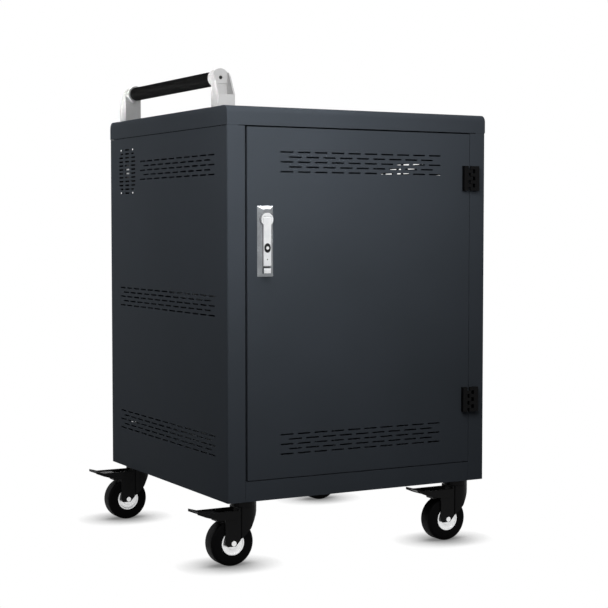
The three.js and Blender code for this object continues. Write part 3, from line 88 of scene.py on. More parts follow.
class Facing(Enum):
    """Way that a piece modelled with its top up is turned, as Euler angles."""

    UP = (0.0, 0.0, 0.0)
    LEFT = (0.0, -math.pi / 2, 0.0)
    FRONT = (math.pi / 2, 0.0, 0.0)
    BACK = (-math.pi / 2, 0.0, 0.0)


class Texture(Enum):
    """Kind of fine relief on a finish."""

    GRAIN = "grain"
    BRUSHED = "brushed"
    PORES = "pores"


def linear(hex_colour: str) -> tuple[float, float, float, float]:
    """Turns an sRGB hex colour to linear.

    Args:
        hex_colour: Colour such as "#3b4147".

    Returns:
        Red, green, blue and alpha for a shader socket.
    """
    channels = [int(hex_colour[start:start + 2], 16) / 255 for start in (1, 3, 5)]
    straight = [c / 12.92 if c <= 0.04045 else ((c + 0.055) / 1.055) ** 2.4 for c in channels]
    return straight[0], straight[1], straight[2], 1.0


def add_node(tree: bpy.types.NodeTree, kind: str, settings: dict | None = None,
             values: dict | None = None, links: dict | None = None) -> bpy.types.Node:
    """Adds one shader node.

    Args:
        tree: Node tree that gets the node.
        kind: Blender's type name for the node.
        settings: The node's own properties.
        values: Values of input sockets, by name or number.
        links: Output sockets that feed input sockets, by name or number.

    Returns:
        The new node.
    """
    node = tree.nodes.new(kind)
    for name, value in (settings or {}).items():
        setattr(node, name, value)
    for name, value in (values or {}).items():
        node.inputs[name].default_value = value
    for name, socket in (links or {}).items():
        tree.links.new(socket, node.inputs[name])
    return node


@dataclass(frozen=True)
class Finish:
    """Surface of one real material: its colours, gloss and relief."""

    name: str
    slot: str
    colour: str
    shade: str
    mottle_mm: float
    roughness: float
    roughness_spread: float
    metallic: float
    texture: Texture
    texture_mm: float
    relief_mm: float
    specular: float = 0.5

    def material(self) -> bpy.types.Material:
        """Finds the finish's material, or makes it the first time.

        Returns:
            The Blender material.
        """
        found = bpy.data.materials.get(self.name)
        return found or self._make()

    def _make(self) -> bpy.types.Material:
        """Builds the node tree: mottled colour, uneven gloss and a fine relief."""
        material = bpy.data.materials.new(self.name)
        material.use_nodes = True
        tree = material.node_tree
        shader = tree.nodes["Principled BSDF"]
        place = add_node(tree, "ShaderNodeTexCoord").outputs["Object"]
        mottle = add_node(tree, "ShaderNodeTexNoise", links={"Vector": place},
                          values={"Scale": 1 / (self.mottle_mm * MM), "Detail": MOTTLE_DETAIL})
        ramp = add_node(tree, "ShaderNodeValToRGB", links={"Fac": mottle.outputs["Fac"]})
        ramp.color_ramp.elements[0].position = MOTTLE_LOW
        ramp.color_ramp.elements[0].color = linear(self.shade)
        ramp.color_ramp.elements[1].position = MOTTLE_HIGH
        ramp.color_ramp.elements[1].color = linear(self.colour)
        gloss = add_node(tree, "ShaderNodeMapRange", links={"Value": mottle.outputs["Fac"]}, values={
            "From Min": MOTTLE_LOW, "From Max": MOTTLE_HIGH,
            "To Min": self.roughness - self.roughness_spread,
            "To Max": self.roughness + self.roughness_spread})
        relief = self._relief(tree, place)
        bump = add_node(tree, "ShaderNodeBump", links={"Height": relief},
                        values={"Strength": 1.0, "Distance": self.relief_mm * MM})
        shader.inputs["Metallic"].default_value = self.metallic
        shader.inputs["Specular IOR Level"].default_value = self.specular
        tree.links.new(ramp.outputs["Color"], shader.inputs["Base Color"])
        tree.links.new(gloss.outputs["Result"], shader.inputs["Roughness"])
        tree.links.new(bump.outputs["Normal"], shader.inputs["Normal"])
        return material

    def _relief(self, tree: bpy.types.NodeTree, place: bpy.types.NodeSocket) -> bpy.types.NodeSocket:
        """Adds the relief pattern.

        Args:
            tree: The material's node tree.
            place: Object coordinates.

        Returns:
            Socket with the pattern's height.
        """
        scale = 1 / (self.texture_mm * MM)
        if self.texture is Texture.PORES:
            cells = add_node(tree, "ShaderNodeTexVoronoi", values={"Scale": scale}, links={"Vector": place})
            return cells.outputs["Distance"]
        drawn = place
        if self.texture is Texture.BRUSHED:
            drawn = add_node(tree, "ShaderNodeMapping", values={"Scale": BRUSH_SCALE},
                             links={"Vector": place}).outputs["Vector"]
        grain = add_node(tree, "ShaderNodeTexNoise", links={"Vector": drawn},
                         values={"Scale": scale, "Detail": GRAIN_DETAIL})
        return grain.outputs["Fac"]


# Polyester powder coat on sheet steel: matt, with a slight orange peel, drawn coarse enough to show
POWDER_COAT = Finish(
    "anthracite_powder_coat", "anthracite_paint", colour="#535961", shade="#4f555c", mottle_mm=220.0,
    roughness=0.5, roughness_spread=0.03, metallic=0.0,
    texture=Texture.GRAIN, texture_mm=2.6, relief_mm=0.03, specular=0.008)
# Cathodic black coat on pressed caster steel: a soft sheen, a little uneven
BLACK_COAT = Finish(
    "black_coated_steel", "black_steel", colour="#141415", shade="#0e0e0f", mottle_mm=18.0,
    roughness=0.4, roughness_spread=0.06, metallic=0.0,
    texture=Texture.GRAIN, texture_mm=1.6, relief_mm=0.03, specular=0.08)
# Black lacquer on die-cast zinc hinges: matt and slightly grainy
HINGE_LACQUER = Finish(
    "black_lacquered_casting", "black_casting", colour="#0d0d0e", shade="#09090a", mottle_mm=9.0,
    roughness=0.5, roughness_spread=0.05, metallic=0.0,
    texture=Texture.GRAIN, texture_mm=1.2, relief_mm=0.05, specular=0.06)
# Satin chrome on die-cast zinc: bright but soft, with faint polishing lines
SATIN_CHROME = Finish(
    "satin_chrome_plate", "lock_chrome", colour="#eff0f1", shade="#e3e5e7", mottle_mm=14.0,
    roughness=0.36, roughness_spread=0.05, metallic=0.6,
    texture=Texture.BRUSHED, texture_mm=0.7, relief_mm=0.012)
# The lock's chrome made darker for its housing: painted shade for the dim surroundings that chrome mirrors, a
# darker mirror than the lever's, slightly cloudy
SHADED_LOCK_CHROME = Finish(
    "lock_chrome_painted_shade", "lock_chrome", colour="#888b8e", shade="#7c7f82", mottle_mm=14.0,
    roughness=0.24, roughness_spread=0.04, metallic=0.95,
    texture=Texture.BRUSHED, texture_mm=0.9, relief_mm=0.01)
# Bright zinc plate on steel: cloudy crystals and a clear shine
ZINC_PLATE = Finish(
    "bright_zinc_plate", "zinc", colour="#fbfbfb", shade="#eff0f1", mottle_mm=5.0,
    roughness=0.32, roughness_spread=0.06, metallic=0.8,
    texture=Texture.GRAIN, texture_mm=1.4, relief_mm=0.015)
# Glass-filled nylon, injection moulded: satin with a fine spark-eroded grain
GREY_NYLON = Finish(
    "light_grey_nylon", "light_grey_plastic", colour="#c6c6c6", shade="#bebebe", mottle_mm=30.0,
    roughness=0.4, roughness_spread=0.04, metallic=0.0,
    texture=Texture.GRAIN, texture_mm=1.1, relief_mm=0.02, specular=0.9)
# Closed-cell foam rubber of the grip: a matt skin with fine pores. Its black also paints shade on the sheets
# behind the cap's seams and the side vents
FOAM_GRIP = Finish(
    "foam_rubber_sleeve", "grip_rubber", colour="#191919", shade="#151515", mottle_mm=12.0,
    roughness=0.5, roughness_spread=0.05, metallic=0.0,
    texture=Texture.PORES, texture_mm=1.4, relief_mm=0.05, specular=0.0)
# Solid rubber tyre: matt, dusty on its tread
TYRE_RUBBER = Finish(
    "solid_tyre_rubber", "tyre_rubber", colour="#111112", shade="#0b0b0c", mottle_mm=10.0,
    roughness=0.48, roughness_spread=0.08, metallic=0.0,
    texture=Texture.GRAIN, texture_mm=1.8, relief_mm=0.06, specular=0.03)
# Injection-moulded ABS: even, satin, with a fine leather grain
BLACK_ABS = Finish(
    "black_moulded_abs", "black_plastic", colour="#1c1c1d", shade="#151516", mottle_mm=16.0,
    roughness=0.42, roughness_spread=0.05, metallic=0.0,
    texture=Texture.PORES, texture_mm=1.3, relief_mm=0.04, specular=0.15)
# Grey moulded ABS of the divider racks
GREY_ABS = Finish(
    "grey_moulded_abs", "rack_plastic", colour="#92979b", shade="#878c90", mottle_mm=24.0,
    roughness=0.5, roughness_spread=0.05, metallic=0.0,
    texture=Texture.PORES, texture_mm=1.5, relief_mm=0.04)
# Black oxide on socket and cross-head screws: dark, slightly oily
BLACK_OXIDE = Finish(
    "black_oxide_screw", "black_steel", colour="#19191a", shade="#101010", mottle_mm=3.0,
    roughness=0.34, roughness_spread=0.08, metallic=0.3,
    texture=Texture.GRAIN, texture_mm=0.8, relief_mm=0.02)
# Foil disc on the fan's hub: pale and finely brushed
HUB_FOIL = Finish(
    "fan_hub_foil", "zinc", colour="#dfe1e3", shade="#cfd1d3", mottle_mm=6.0,
    roughness=0.3, roughness_spread=0.05, metallic=0.4,
    texture=Texture.BRUSHED, texture_mm=0.8, relief_mm=0.01)

NODE_FINISHES = {
    finish.slot: finish
    for finish in (POWDER_COAT, BLACK_COAT, HINGE_LACQUER, SATIN_CHROME, ZINC_PLATE, GREY_NYLON, FOAM_GRIP,
                   TYRE_RUBBER, BLACK_ABS, GREY_ABS)
}


class Bench:
    """Modelling steps that every hand-made piece shares. Sizes are in millimetres."""

    @staticmethod
    def clear() -> None:
        """Leaves edit mode and deselects everything."""
        if bpy.context.object and bpy.context.object.mode != "OBJECT":
            bpy.ops.object.mode_set(mode="OBJECT")
        bpy.ops.object.select_all(action="DESELECT")

    @staticmethod
    def focus(piece: bpy.types.Object) -> None:
        """Makes one piece the only selected and the active one."""
        Bench.clear()
        piece.select_set(True)
        bpy.context.view_layer.objects.active = piece

    @staticmethod
    def settle(piece: bpy.types.Object) -> None:
        """Puts the piece's place, turn and scale into its mesh."""
        Bench.focus(piece)
        bpy.ops.object.transform_apply(location=True, rotation=True, scale=True)

    @staticmethod
    def disc(name: str, radius: float, height: float, sides: int = 32) -> bpy.types.Object:
        """Starts a round piece that stands on the origin.

        Args:
            name: The piece's name.
            radius: Its radius.
            height: Its height.
            sides: Number of sides.

        Returns:
            The new object.
        """
        Bench.clear()
        bpy.ops.mesh.primitive_cylinder_add(vertices=sides, radius=radius * MM, depth=height * MM,
                                            location=(0.0, 0.0, height * MM / 2))
        piece = bpy.context.object
        piece.name = name
        Bench.settle(piece)
        return piece

    @staticmethod
    def slab(name: str, size: tuple[float, float, float], rise: float = 0.0) -> bpy.types.Object:
        """Starts a boxy piece that stands on the origin.

        Args:
            name: The piece's name.
            size: Width, depth and height.
            rise: Height of its underside.

        Returns:
            The new object.
        """
        Bench.clear()
        bpy.ops.mesh.primitive_cube_add(size=1.0, location=(0.0, 0.0, (rise + size[2] / 2) * MM))
        piece = bpy.context.object
        piece.name = name
        piece.scale = tuple(side * MM for side in size)
        Bench.settle(piece)
        return piece

    @staticmethod
    def pick_faces(piece: bpy.types.Object, test: Callable[[Vector, Vector], bool]) -> None:
        """Selects faces in edit mode.

        Args:
            piece: The piece to edit.
            test: Given a face's middle and normal, says whether to select it.
        """
        Bench.focus(piece)
        bpy.ops.object.mode_set(mode="EDIT")
        bpy.ops.mesh.select_mode(type="FACE")
        bpy.ops.mesh.select_all(action="DESELECT")
        mesh = bmesh.from_edit_mesh(piece.data)
        for face in mesh.faces:
            face.select_set(test(face.calc_center_median(), face.normal))
        bmesh.update_edit_mesh(piece.data)

    @staticmethod
    def pick_edges(piece: bpy.types.Object, test: Callable[[Vector, Vector], bool]) -> None:
        """Selects edges in edit mode.

        Args:
            piece: The piece to edit.
            test: Given an edge's two ends, says whether to select it.
        """
        Bench.focus(piece)
        bpy.ops.object.mode_set(mode="EDIT")
        bpy.ops.mesh.select_mode(type="EDGE")
        bpy.ops.mesh.select_all(action="DESELECT")
        mesh = bmesh.from_edit_mesh(piece.data)
        for edge in mesh.edges:
            edge.select_set(test(edge.verts[0].co, edge.verts[1].co))
        bmesh.update_edit_mesh(piece.data)

    @staticmethod
    def inset(width: float) -> None:
        """Insets the selected faces."""
        bpy.ops.mesh.inset(thickness=width * MM)

    @staticmethod
    def extrude(rise: float) -> None:
        """Extrudes the selected faces up by rise, or down where it is negative."""
        bpy.ops.mesh.extrude_region_move(TRANSFORM_OT_translate={"value": (0.0, 0.0, rise * MM)})

    @staticmethod
    def bevel(width: float, segments: int = 2) -> None:
        """Bevels the selected edges."""
        bpy.ops.mesh.bevel(offset=width * MM, segments=segments, affect="EDGES")

    @staticmethod
    def round_edges(piece: bpy.types.Object, width: float, segments: int = 2, angle: float = 35.0) -> None:
        """Rounds every edge sharper than an angle with an applied Bevel modifier.

        Args:
            piece: The piece to round.
            width: Width of the rounding.
            segments: Steps round each edge.
            angle: Least angle between faces, in degrees.
        """
        Bench.focus(piece)
        bevel = piece.modifiers.new("rounding", "BEVEL")
        bevel.width = width * MM
        bevel.segments = segments
        bevel.limit_method = "ANGLE"
        bevel.angle_limit = math.radians(angle)
        bpy.ops.object.modifier_apply(modifier=bevel.name)

    @staticmethod
    def keep_flats(piece: bpy.types.Object) -> None:
        """Shades large flat faces flat up to their rounded edges with an applied Weighted Normal modifier."""
        Bench.focus(piece)
        weighting = piece.modifiers.new("flats", "WEIGHTED_NORMAL")
        weighting.keep_sharp = True
        bpy.ops.object.modifier_apply(modifier=weighting.name)

    @staticmethod
    def carve(piece: bpy.types.Object, cutter: bpy.types.Object) -> None:
        """Cuts one piece's shape out of another with an applied Boolean modifier.

        Args:
            piece: The piece that is cut.
            cutter: The shape that cuts it, which is then removed.
        """
        Bench.focus(piece)
        cut = piece.modifiers.new("cut", "BOOLEAN")
        cut.operation = "DIFFERENCE"
        cut.solver = "EXACT"
        cut.object = cutter
        bpy.ops.object.modifier_apply(modifier=cut.name)
        bpy.data.objects.remove(cutter)

    @staticmethod
    def copy(piece: bpy.types.Object, name: str) -> bpy.types.Object:
        """Copies a piece with its own mesh.

        Args:
            piece: The piece to copy.
            name: The copy's name.

        Returns:
            The copy.
        """
        twin = piece.copy()
        twin.data = piece.data.copy()
        twin.name = name
        bpy.context.scene.collection.objects.link(twin)
        return twin

    @staticmethod
    def put(piece: bpy.types.Object, place: Vector, facing: Facing) -> None:
        """Turns a piece that was modelled upright and moves it to its place, in metres."""
        piece.rotation_euler = facing.value
        piece.location = place
        Bench.settle(piece)

    @staticmethod
    def dress(piece: bpy.types.Object, finish: Finish, body: str, angle: float = 35.0) -> None:
        """Smooths and paints a finished piece, and hands it to its body.

        Args:
            piece: The finished piece.
            finish: Its finish.
            body: Name of the CAD body that it moves with.
            angle: Edges sharper than this stay sharp, in degrees.
        """
        Bench.focus(piece)
        bpy.ops.object.shade_smooth_by_angle(angle=math.radians(angle))
        piece.data.materials.clear()
        piece.data.materials.append(finish.material())
        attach(piece, body)
        LOG.info("%s rides on %s in %s", piece.name, body, finish.name)


def middle(node: str) -> Vector:
    """Gives the middle of a CAD node's box, in metres."""
    low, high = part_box(node)
    return (low + high) / 2


def body_of(node: str) -> str:
    """Gives the name of the body that a CAD node moves with."""
    return frame["nodes"][node]["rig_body"]


def slot_of(node: str) -> str:
    """Gives the record's material slot of a CAD node."""
    return next(part["material_slot"] for part in frame["record"]["subparts"] if part["node"] == node)


@dataclass
class PressedParts:
    """CAD nodes shown with their edges rounded, as pressed and cast pieces have them."""

    cap_edge: float = 0.5
    casting_edge: float = 1.3
    lock_edge: float = 0.7
    plate_edge: float = 0.6
    hinge_edge: float = 0.5
    merge_mm: float = 0.01
    flat_angle: float = 0.5
    crown_end: float = 21.0
    crown_cut: tuple[float, float, float] = (34.0, 48.0, 8.0)
    crown_cut_drop: float = 5.5
    crease_back: float = 15.5
    crease: tuple[float, float, float] = (2.6, 3.0, 75.0)
    fork_half_width: float = 21.5
    smooth_angle: float = 40.0

    def build(self) -> None:
        """Rounds each listed node in turn."""
        self.soften("top_cap", self.cap_edge)
        for end in ("front", "rear"):
            self.soften(f"{end}_handle_bracket", self.casting_edge)
        # The housing's chrome is darkened as painted shade
        self.soften("lock_housing", self.lock_edge, SHADED_LOCK_CHROME)
        for node in ("lock_lever", "lock_spindle", "rear_lock"):
            self.soften(node, self.lock_edge)
        for corner in CORNERS:
            self.soften(f"{corner}_caster_fork", self.plate_edge, cutters=self.fork_cutters(corner))
            self.soften(f"{corner}_caster_pedal", self.plate_edge)
        for hinge in HINGES:
            for leaf in ("frame", "door"):
                self.soften(f"{hinge}_hinge_{leaf}_leaf", self.hinge_edge)

    def fork_cutters(self, corner: str) -> list[bpy.types.Object]:
        """Shapes the cuts behind a fork's crown and in the crease beside its nose.

        Args:
            corner: The caster's corner.

        Returns:
            The cutting shapes, in place.
        """
        kingpin = middle(f"{corner}_caster_head")
        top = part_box(f"{corner}_caster_fork")[1].z
        behind = Bench.slab("cutter", self.crown_cut)
        behind.location = (kingpin.x - (self.crown_end + self.crown_cut[0] / 2) * MM, kingpin.y,
                           top - self.crown_cut_drop * MM)
        cutters = [behind]
        for way in (-1, 1):
            crease = Bench.slab("cutter", self.crease)
            crease.location = (kingpin.x - self.crease_back * MM, kingpin.y + way * self.fork_half_width * MM,
                               top - (self.crease[2] - OVERCUT) * MM)
            cutters.append(crease)
        for cutter in cutters:
            Bench.settle(cutter)
        return cutters

    def soften(self, node: str, width: float, finish: Finish | None = None,
               cutters: Iterable[bpy.types.Object] = ()) -> None:
        """Shows a rounded copy in place of a CAD node.

        Args:
            node: Name of the CAD node.
            width: Width of the rounding, in millimetres.
            finish: Its finish, where it isn't the usual one of its slot.
            cutters: Shapes that are cut from it before its edges are rounded.
        """
        source = frame["nodes"][node]
        piece = Bench.copy(source, f"{node}_rounded")
        piece.parent = None
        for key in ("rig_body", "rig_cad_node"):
            del piece[key]
        Bench.focus(piece)
        bpy.ops.object.mode_set(mode="EDIT")
        bpy.ops.mesh.select_all(action="SELECT")
        bpy.ops.mesh.remove_doubles(threshold=self.merge_mm * MM)
        bpy.ops.mesh.dissolve_limited(angle_limit=math.radians(self.flat_angle))
        Bench.clear()
        for cutter in cutters:
            Bench.carve(piece, cutter)
        Bench.round_edges(piece, width)
        Bench.dress(piece, finish or NODE_FINISHES[slot_of(node)], body_of(node), self.smooth_angle)
        Bench.keep_flats(piece)
        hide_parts(node)


@dataclass
class CabinetPaint:
    """Finish of every CAD node that is shown as it is."""

    smooth_angle: float = 30.0

    def dress(self) -> None:
        """Paints each node with the finish of its slot."""
        for node, piece in frame["nodes"].items():
            Bench.focus(piece)
            bpy.ops.object.shade_smooth_by_angle(angle=math.radians(self.smooth_angle))
            piece.data.materials.clear()
            piece.data.materials.append(NODE_FINISHES[slot_of(node)].material())


@dataclass
class ShadeSheets:
    """Black sheets that paint shade: one behind each of the cap's side seams, which also shuts the light out of
    them, and one on the shelf behind the side vents.
    """

    length: float = 560.0
    thickness: float = 0.8
    height: float = 14.0
    gap: float = 0.4
    edge: float = 0.25
    vent_shade_thickness: float = 0.16
    vent_shade_margin: float = 0.5
    vent_shade_gap: float = 0.05
    vent_shade_edge: float = 0.05

    def build(self) -> None:
        """Adds the black sheets of painted shade behind the seams and behind the vents."""
        self.seam_shades()
        self.vent_shade()

    def seam_shades(self) -> None:
        """Models one black sheet of painted shade and places a copy behind each side's seam."""
        seam_shade = Bench.slab("seam_shade_pattern", (self.thickness, self.length, self.height))
        Bench.round_edges(seam_shade, self.edge)
        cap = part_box("top_cap")[0].z
        inset = (self.gap + self.thickness / 2) * MM
        for side, way in (("left", 1), ("right", -1)):
            low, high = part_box(f"{side}_side_panel")
            inner = high.x if way > 0 else low.x
            piece = Bench.copy(seam_shade, f"{side}_seam_shade_sheet")
            foot = (cap + high.z - self.height * MM) / 2
            place = Vector((inner + way * inset, (low.y + high.y) / 2, foot))
            Bench.put(piece, place, Facing.UP)
            Bench.dress(piece, FOAM_GRIP, "cabinet")
        bpy.data.objects.remove(seam_shade)

    def vent_shade(self) -> None:
        """Models one black sheet of painted shade for the vents and places a copy on the outer face of each of
        the middle shelf's flanges.
        """
        low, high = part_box("middle_shelf")
        across = (high - low) / MM
        margins = 2 * self.vent_shade_margin
        vent_shade = Bench.slab("vent_shade_pattern", (self.vent_shade_thickness, across.y - margins, across.z - margins))
        Bench.round_edges(vent_shade, self.vent_shade_edge)
        out = (self.vent_shade_gap + self.vent_shade_thickness / 2) * MM
        for side, x in (("left", low.x - out), ("right", high.x + out)):
            piece = Bench.copy(vent_shade, f"{side}_shelf_vent_shade")
            Bench.put(piece, Vector((x, (low.y + high.y) / 2, low.z + self.vent_shade_margin * MM)), Facing.UP)
            Bench.dress(piece, FOAM_GRIP, "cabinet")
        bpy.data.objects.remove(vent_shade)


@dataclass
class CrossHeadScrew:
    """Pan-head screw with a cross recess."""

    radius: float = 2.0
    height: float = 0.9
    edge: float = 0.4
    recess_width: float = 0.5
    recess_length: float = 2.4
    recess_depth: float = 0.5
    sides: int = 24
    edge_steps: int = 3

    def build(self, name: str) -> bpy.types.Object:
        """Models the screw's head standing on the origin.

        Args:
            name: The piece's name.

        Returns:
            The finished head.
        """
        head = Bench.disc(name, self.radius, self.height, self.sides)
        top = self.height * MM
        Bench.pick_edges(head, lambda a, b: abs(a.z - top) < NEAR and abs(b.z - top) < NEAR)
        Bench.bevel(self.edge, self.edge_steps)
        for size in ((self.recess_length, self.recess_width), (self.recess_width, self.recess_length)):
            cutter = Bench.slab("cutter", (*size, self.height), self.height - self.recess_depth)
            Bench.carve(head, cutter)
        return head

    def place(self, places: Iterable[tuple[str, Vector]], facing: Facing,
              finish: Finish, body: str) -> None:
        """Copies the screw to each place.

        Args:
            places: Name and place of each screw, at its seat, in metres.
            facing: Way that the heads face.
            finish: Their finish.
            body: Body that they move with.
        """
        pattern = self.build("screw_pattern")
        for name, place in places:
            screw = Bench.copy(pattern, name)
            Bench.put(screw, place, facing)
            Bench.dress(screw, finish, body)
        bpy.data.objects.remove(pattern)


@dataclass
class FanDetails:
    """Fan screws on the left panel and the foil disc on the fan's hub."""

    screw_across: float = 34.5
    screw_up: float = 49.0
    foil_radius: float = 10.5
    foil_thickness: float = 0.6
    foil_ring: float = 3.0
    foil_dish: float = 0.2

    def build(self) -> None:
        """Places four screws and the foil."""
        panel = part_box("left_side_panel")[0].x
        fan = middle("fan_frame")
        places = [
            (f"fan_screw_{number}",
             Vector((panel, fan.y + across * self.screw_across * MM, fan.z + up * self.screw_up * MM)))
            for number, (across, up) in enumerate(((-1, -1), (-1, 1), (1, -1), (1, 1)), start=1)
        ]
        CrossHeadScrew().place(places, Facing.LEFT, ZINC_PLATE, "cabinet")
        foil = Bench.disc("fan_hub_foil", self.foil_radius, self.foil_thickness)
        top = self.foil_thickness * MM
        Bench.pick_faces(foil, lambda centre, normal: normal.z > FACES and centre.z > top / 2)
        Bench.inset(self.foil_ring)
        Bench.extrude(-self.foil_dish)
        Bench.put(foil, Vector((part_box("fan_rotor")[0].x, fan.y, fan.z)), Facing.LEFT)
        Bench.dress(foil, HUB_FOIL, "fan_rotor")


@dataclass
class HandleDetails:
    """Socket screws that hold the push handle's bar in its brackets."""

    head_radius: float = 3.8
    head_height: float = 5.0
    sunk: float = 1.0
    socket_radius: float = 2.2
    socket_depth: float = 3.0
    tongue: float = 6.0
    head_edge: float = 0.5
    head_sides: int = 24
    socket_sides: int = 6

    def build(self) -> None:
        """Places one screw in the tongue of each bracket."""
        bar = middle("handle_bar")
        for end, facing, way in (("front", Facing.FRONT, -1), ("rear", Facing.BACK, 1)):
            screw = Bench.disc(f"{end}_handle_screw", self.head_radius, self.head_height, self.head_sides)
            top = self.head_height * MM
            Bench.pick_edges(screw, lambda a, b: abs(a.z - top) < NEAR and abs(b.z - top) < NEAR)
            Bench.bevel(self.head_edge)
            socket = Bench.disc("cutter", self.socket_radius, self.socket_depth + OVERCUT, self.socket_sides)
            socket.location.z = (self.head_height - self.socket_depth) * MM
            Bench.settle(socket)
            Bench.carve(screw, socket)
            low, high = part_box(f"{end}_handle_bracket")
            inner = high.y if way < 0 else low.y
            seat = inner + way * (self.tongue - self.sunk - self.head_height) * MM
            Bench.put(screw, Vector((bar.x, seat, bar.z)), facing)
            Bench.dress(screw, BLACK_OXIDE, "cabinet")


@dataclass
class LockDetails:
    """Key surround, mark and end cap of the front lock, a black plate of painted shade in its slit, and keyway
    plate of the rear lock.
    """

    surround_width: float = 14.5
    surround_height: float = 19.0
    surround_rise: float = 0.9
    surround_bore: float = 3.5
    surround_edge: float = 0.3
    surround_sides: int = 40
    bore_sides: int = 24
    mark_drop: float = 23.2
    mark_radius: float = 1.3
    mark_rise: float = 0.3
    mark_edge: float = 0.15
    mark_sides: int = 16
    cap_size: tuple[float, float, float] = (15.6, 10.1, 0.5)
    cap_lift: float = 12.15
    slit_size: tuple[float, float, float] = (15.6, 2.8, 0.6)
    slit_lift: float = 19.7
    slit_depth: float = 5.6
    plate_radius: float = 9.0
    plate_rise: float = 0.8
    plate_edge: float = 0.3
    keyway: tuple[float, float] = (1.6, 9.0)

    def build(self) -> None:
        """Places the pieces of both locks."""
        self.key_and_mark()
        self.lever_end()
        self.rear_keyway()

    def key_and_mark(self) -> None:
        """Models the key's surround and the mark below it on the lever."""
        lever_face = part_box("lock_lever")[0].y
        key = middle("lock_cylinder")
        surround = Bench.disc("key_surround", self.surround_height / 2, self.surround_rise,
                              self.surround_sides)
        surround.scale.x = self.surround_width / self.surround_height
        Bench.settle(surround)
        bore = Bench.disc("cutter", self.surround_bore, self.surround_rise + 2 * OVERCUT, self.bore_sides)
        bore.location.z = -OVERCUT * MM
        Bench.settle(bore)
        Bench.carve(surround, bore)
        Bench.round_edges(surround, self.surround_edge)
        Bench.put(surround, Vector((key.x, lever_face, key.z)), Facing.FRONT)
        Bench.dress(surround, BLACK_ABS, "lock_lever")

        mark = Bench.disc("lever_mark", self.mark_radius, self.mark_rise, self.mark_sides)
        Bench.pick_edges(mark, lambda a, b: min(a.z, b.z) > self.mark_rise * MM / 2)
        Bench.bevel(self.mark_edge)
        Bench.put(mark, Vector((key.x, lever_face, key.z - self.mark_drop * MM)), Facing.FRONT)
        Bench.dress(mark, BLACK_OXIDE, "lock_lever")

    def lever_end(self) -> None:
        """Models the bright cap on the block below the lever, and a black plate set down in the slit between
        them, which paints the slit's shade.
        """
        key = middle("lock_cylinder")
        lever_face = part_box("lock_lever")[0].y
        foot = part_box("lock_housing")[0].z
        for name, size, lift, depth, finish in (
            ("lock_end_cap", self.cap_size, self.cap_lift, 0.0, SATIN_CHROME),
            # A black plate deep in the slit: painted shade
            ("lock_slit_painted_shade", self.slit_size, self.slit_lift, self.slit_depth, BLACK_OXIDE),
        ):
            plate = Bench.slab(name, size)
            Bench.pick_edges(plate, lambda a, b: min(a.z, b.z) > size[2] * MM / 2)
            Bench.bevel(size[2] / 2)
            Bench.put(plate, Vector((key.x, lever_face + depth * MM, foot + lift * MM)), Facing.FRONT)
            Bench.dress(plate, finish, body_of("lock_housing"))

    def rear_keyway(self) -> None:
        """Models the rear lock's keyway plate."""
        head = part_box("rear_lock")
        plate = Bench.disc("rear_lock_keyway", self.plate_radius, self.plate_rise)
        Bench.pick_edges(plate, lambda a, b: min(a.z, b.z) > self.plate_rise * MM / 2)
        Bench.bevel(self.plate_edge)
        Bench.carve(plate, Bench.slab("cutter", (*self.keyway, self.plate_rise), self.plate_rise / 2))
        seat = Vector((middle("rear_lock").x, head[1].y, head[0].z + (head[1].x - head[0].x) / 2))
        Bench.put(plate, seat, Facing.BACK)
        Bench.dress(plate, ZINC_PLATE, "rear_lock")


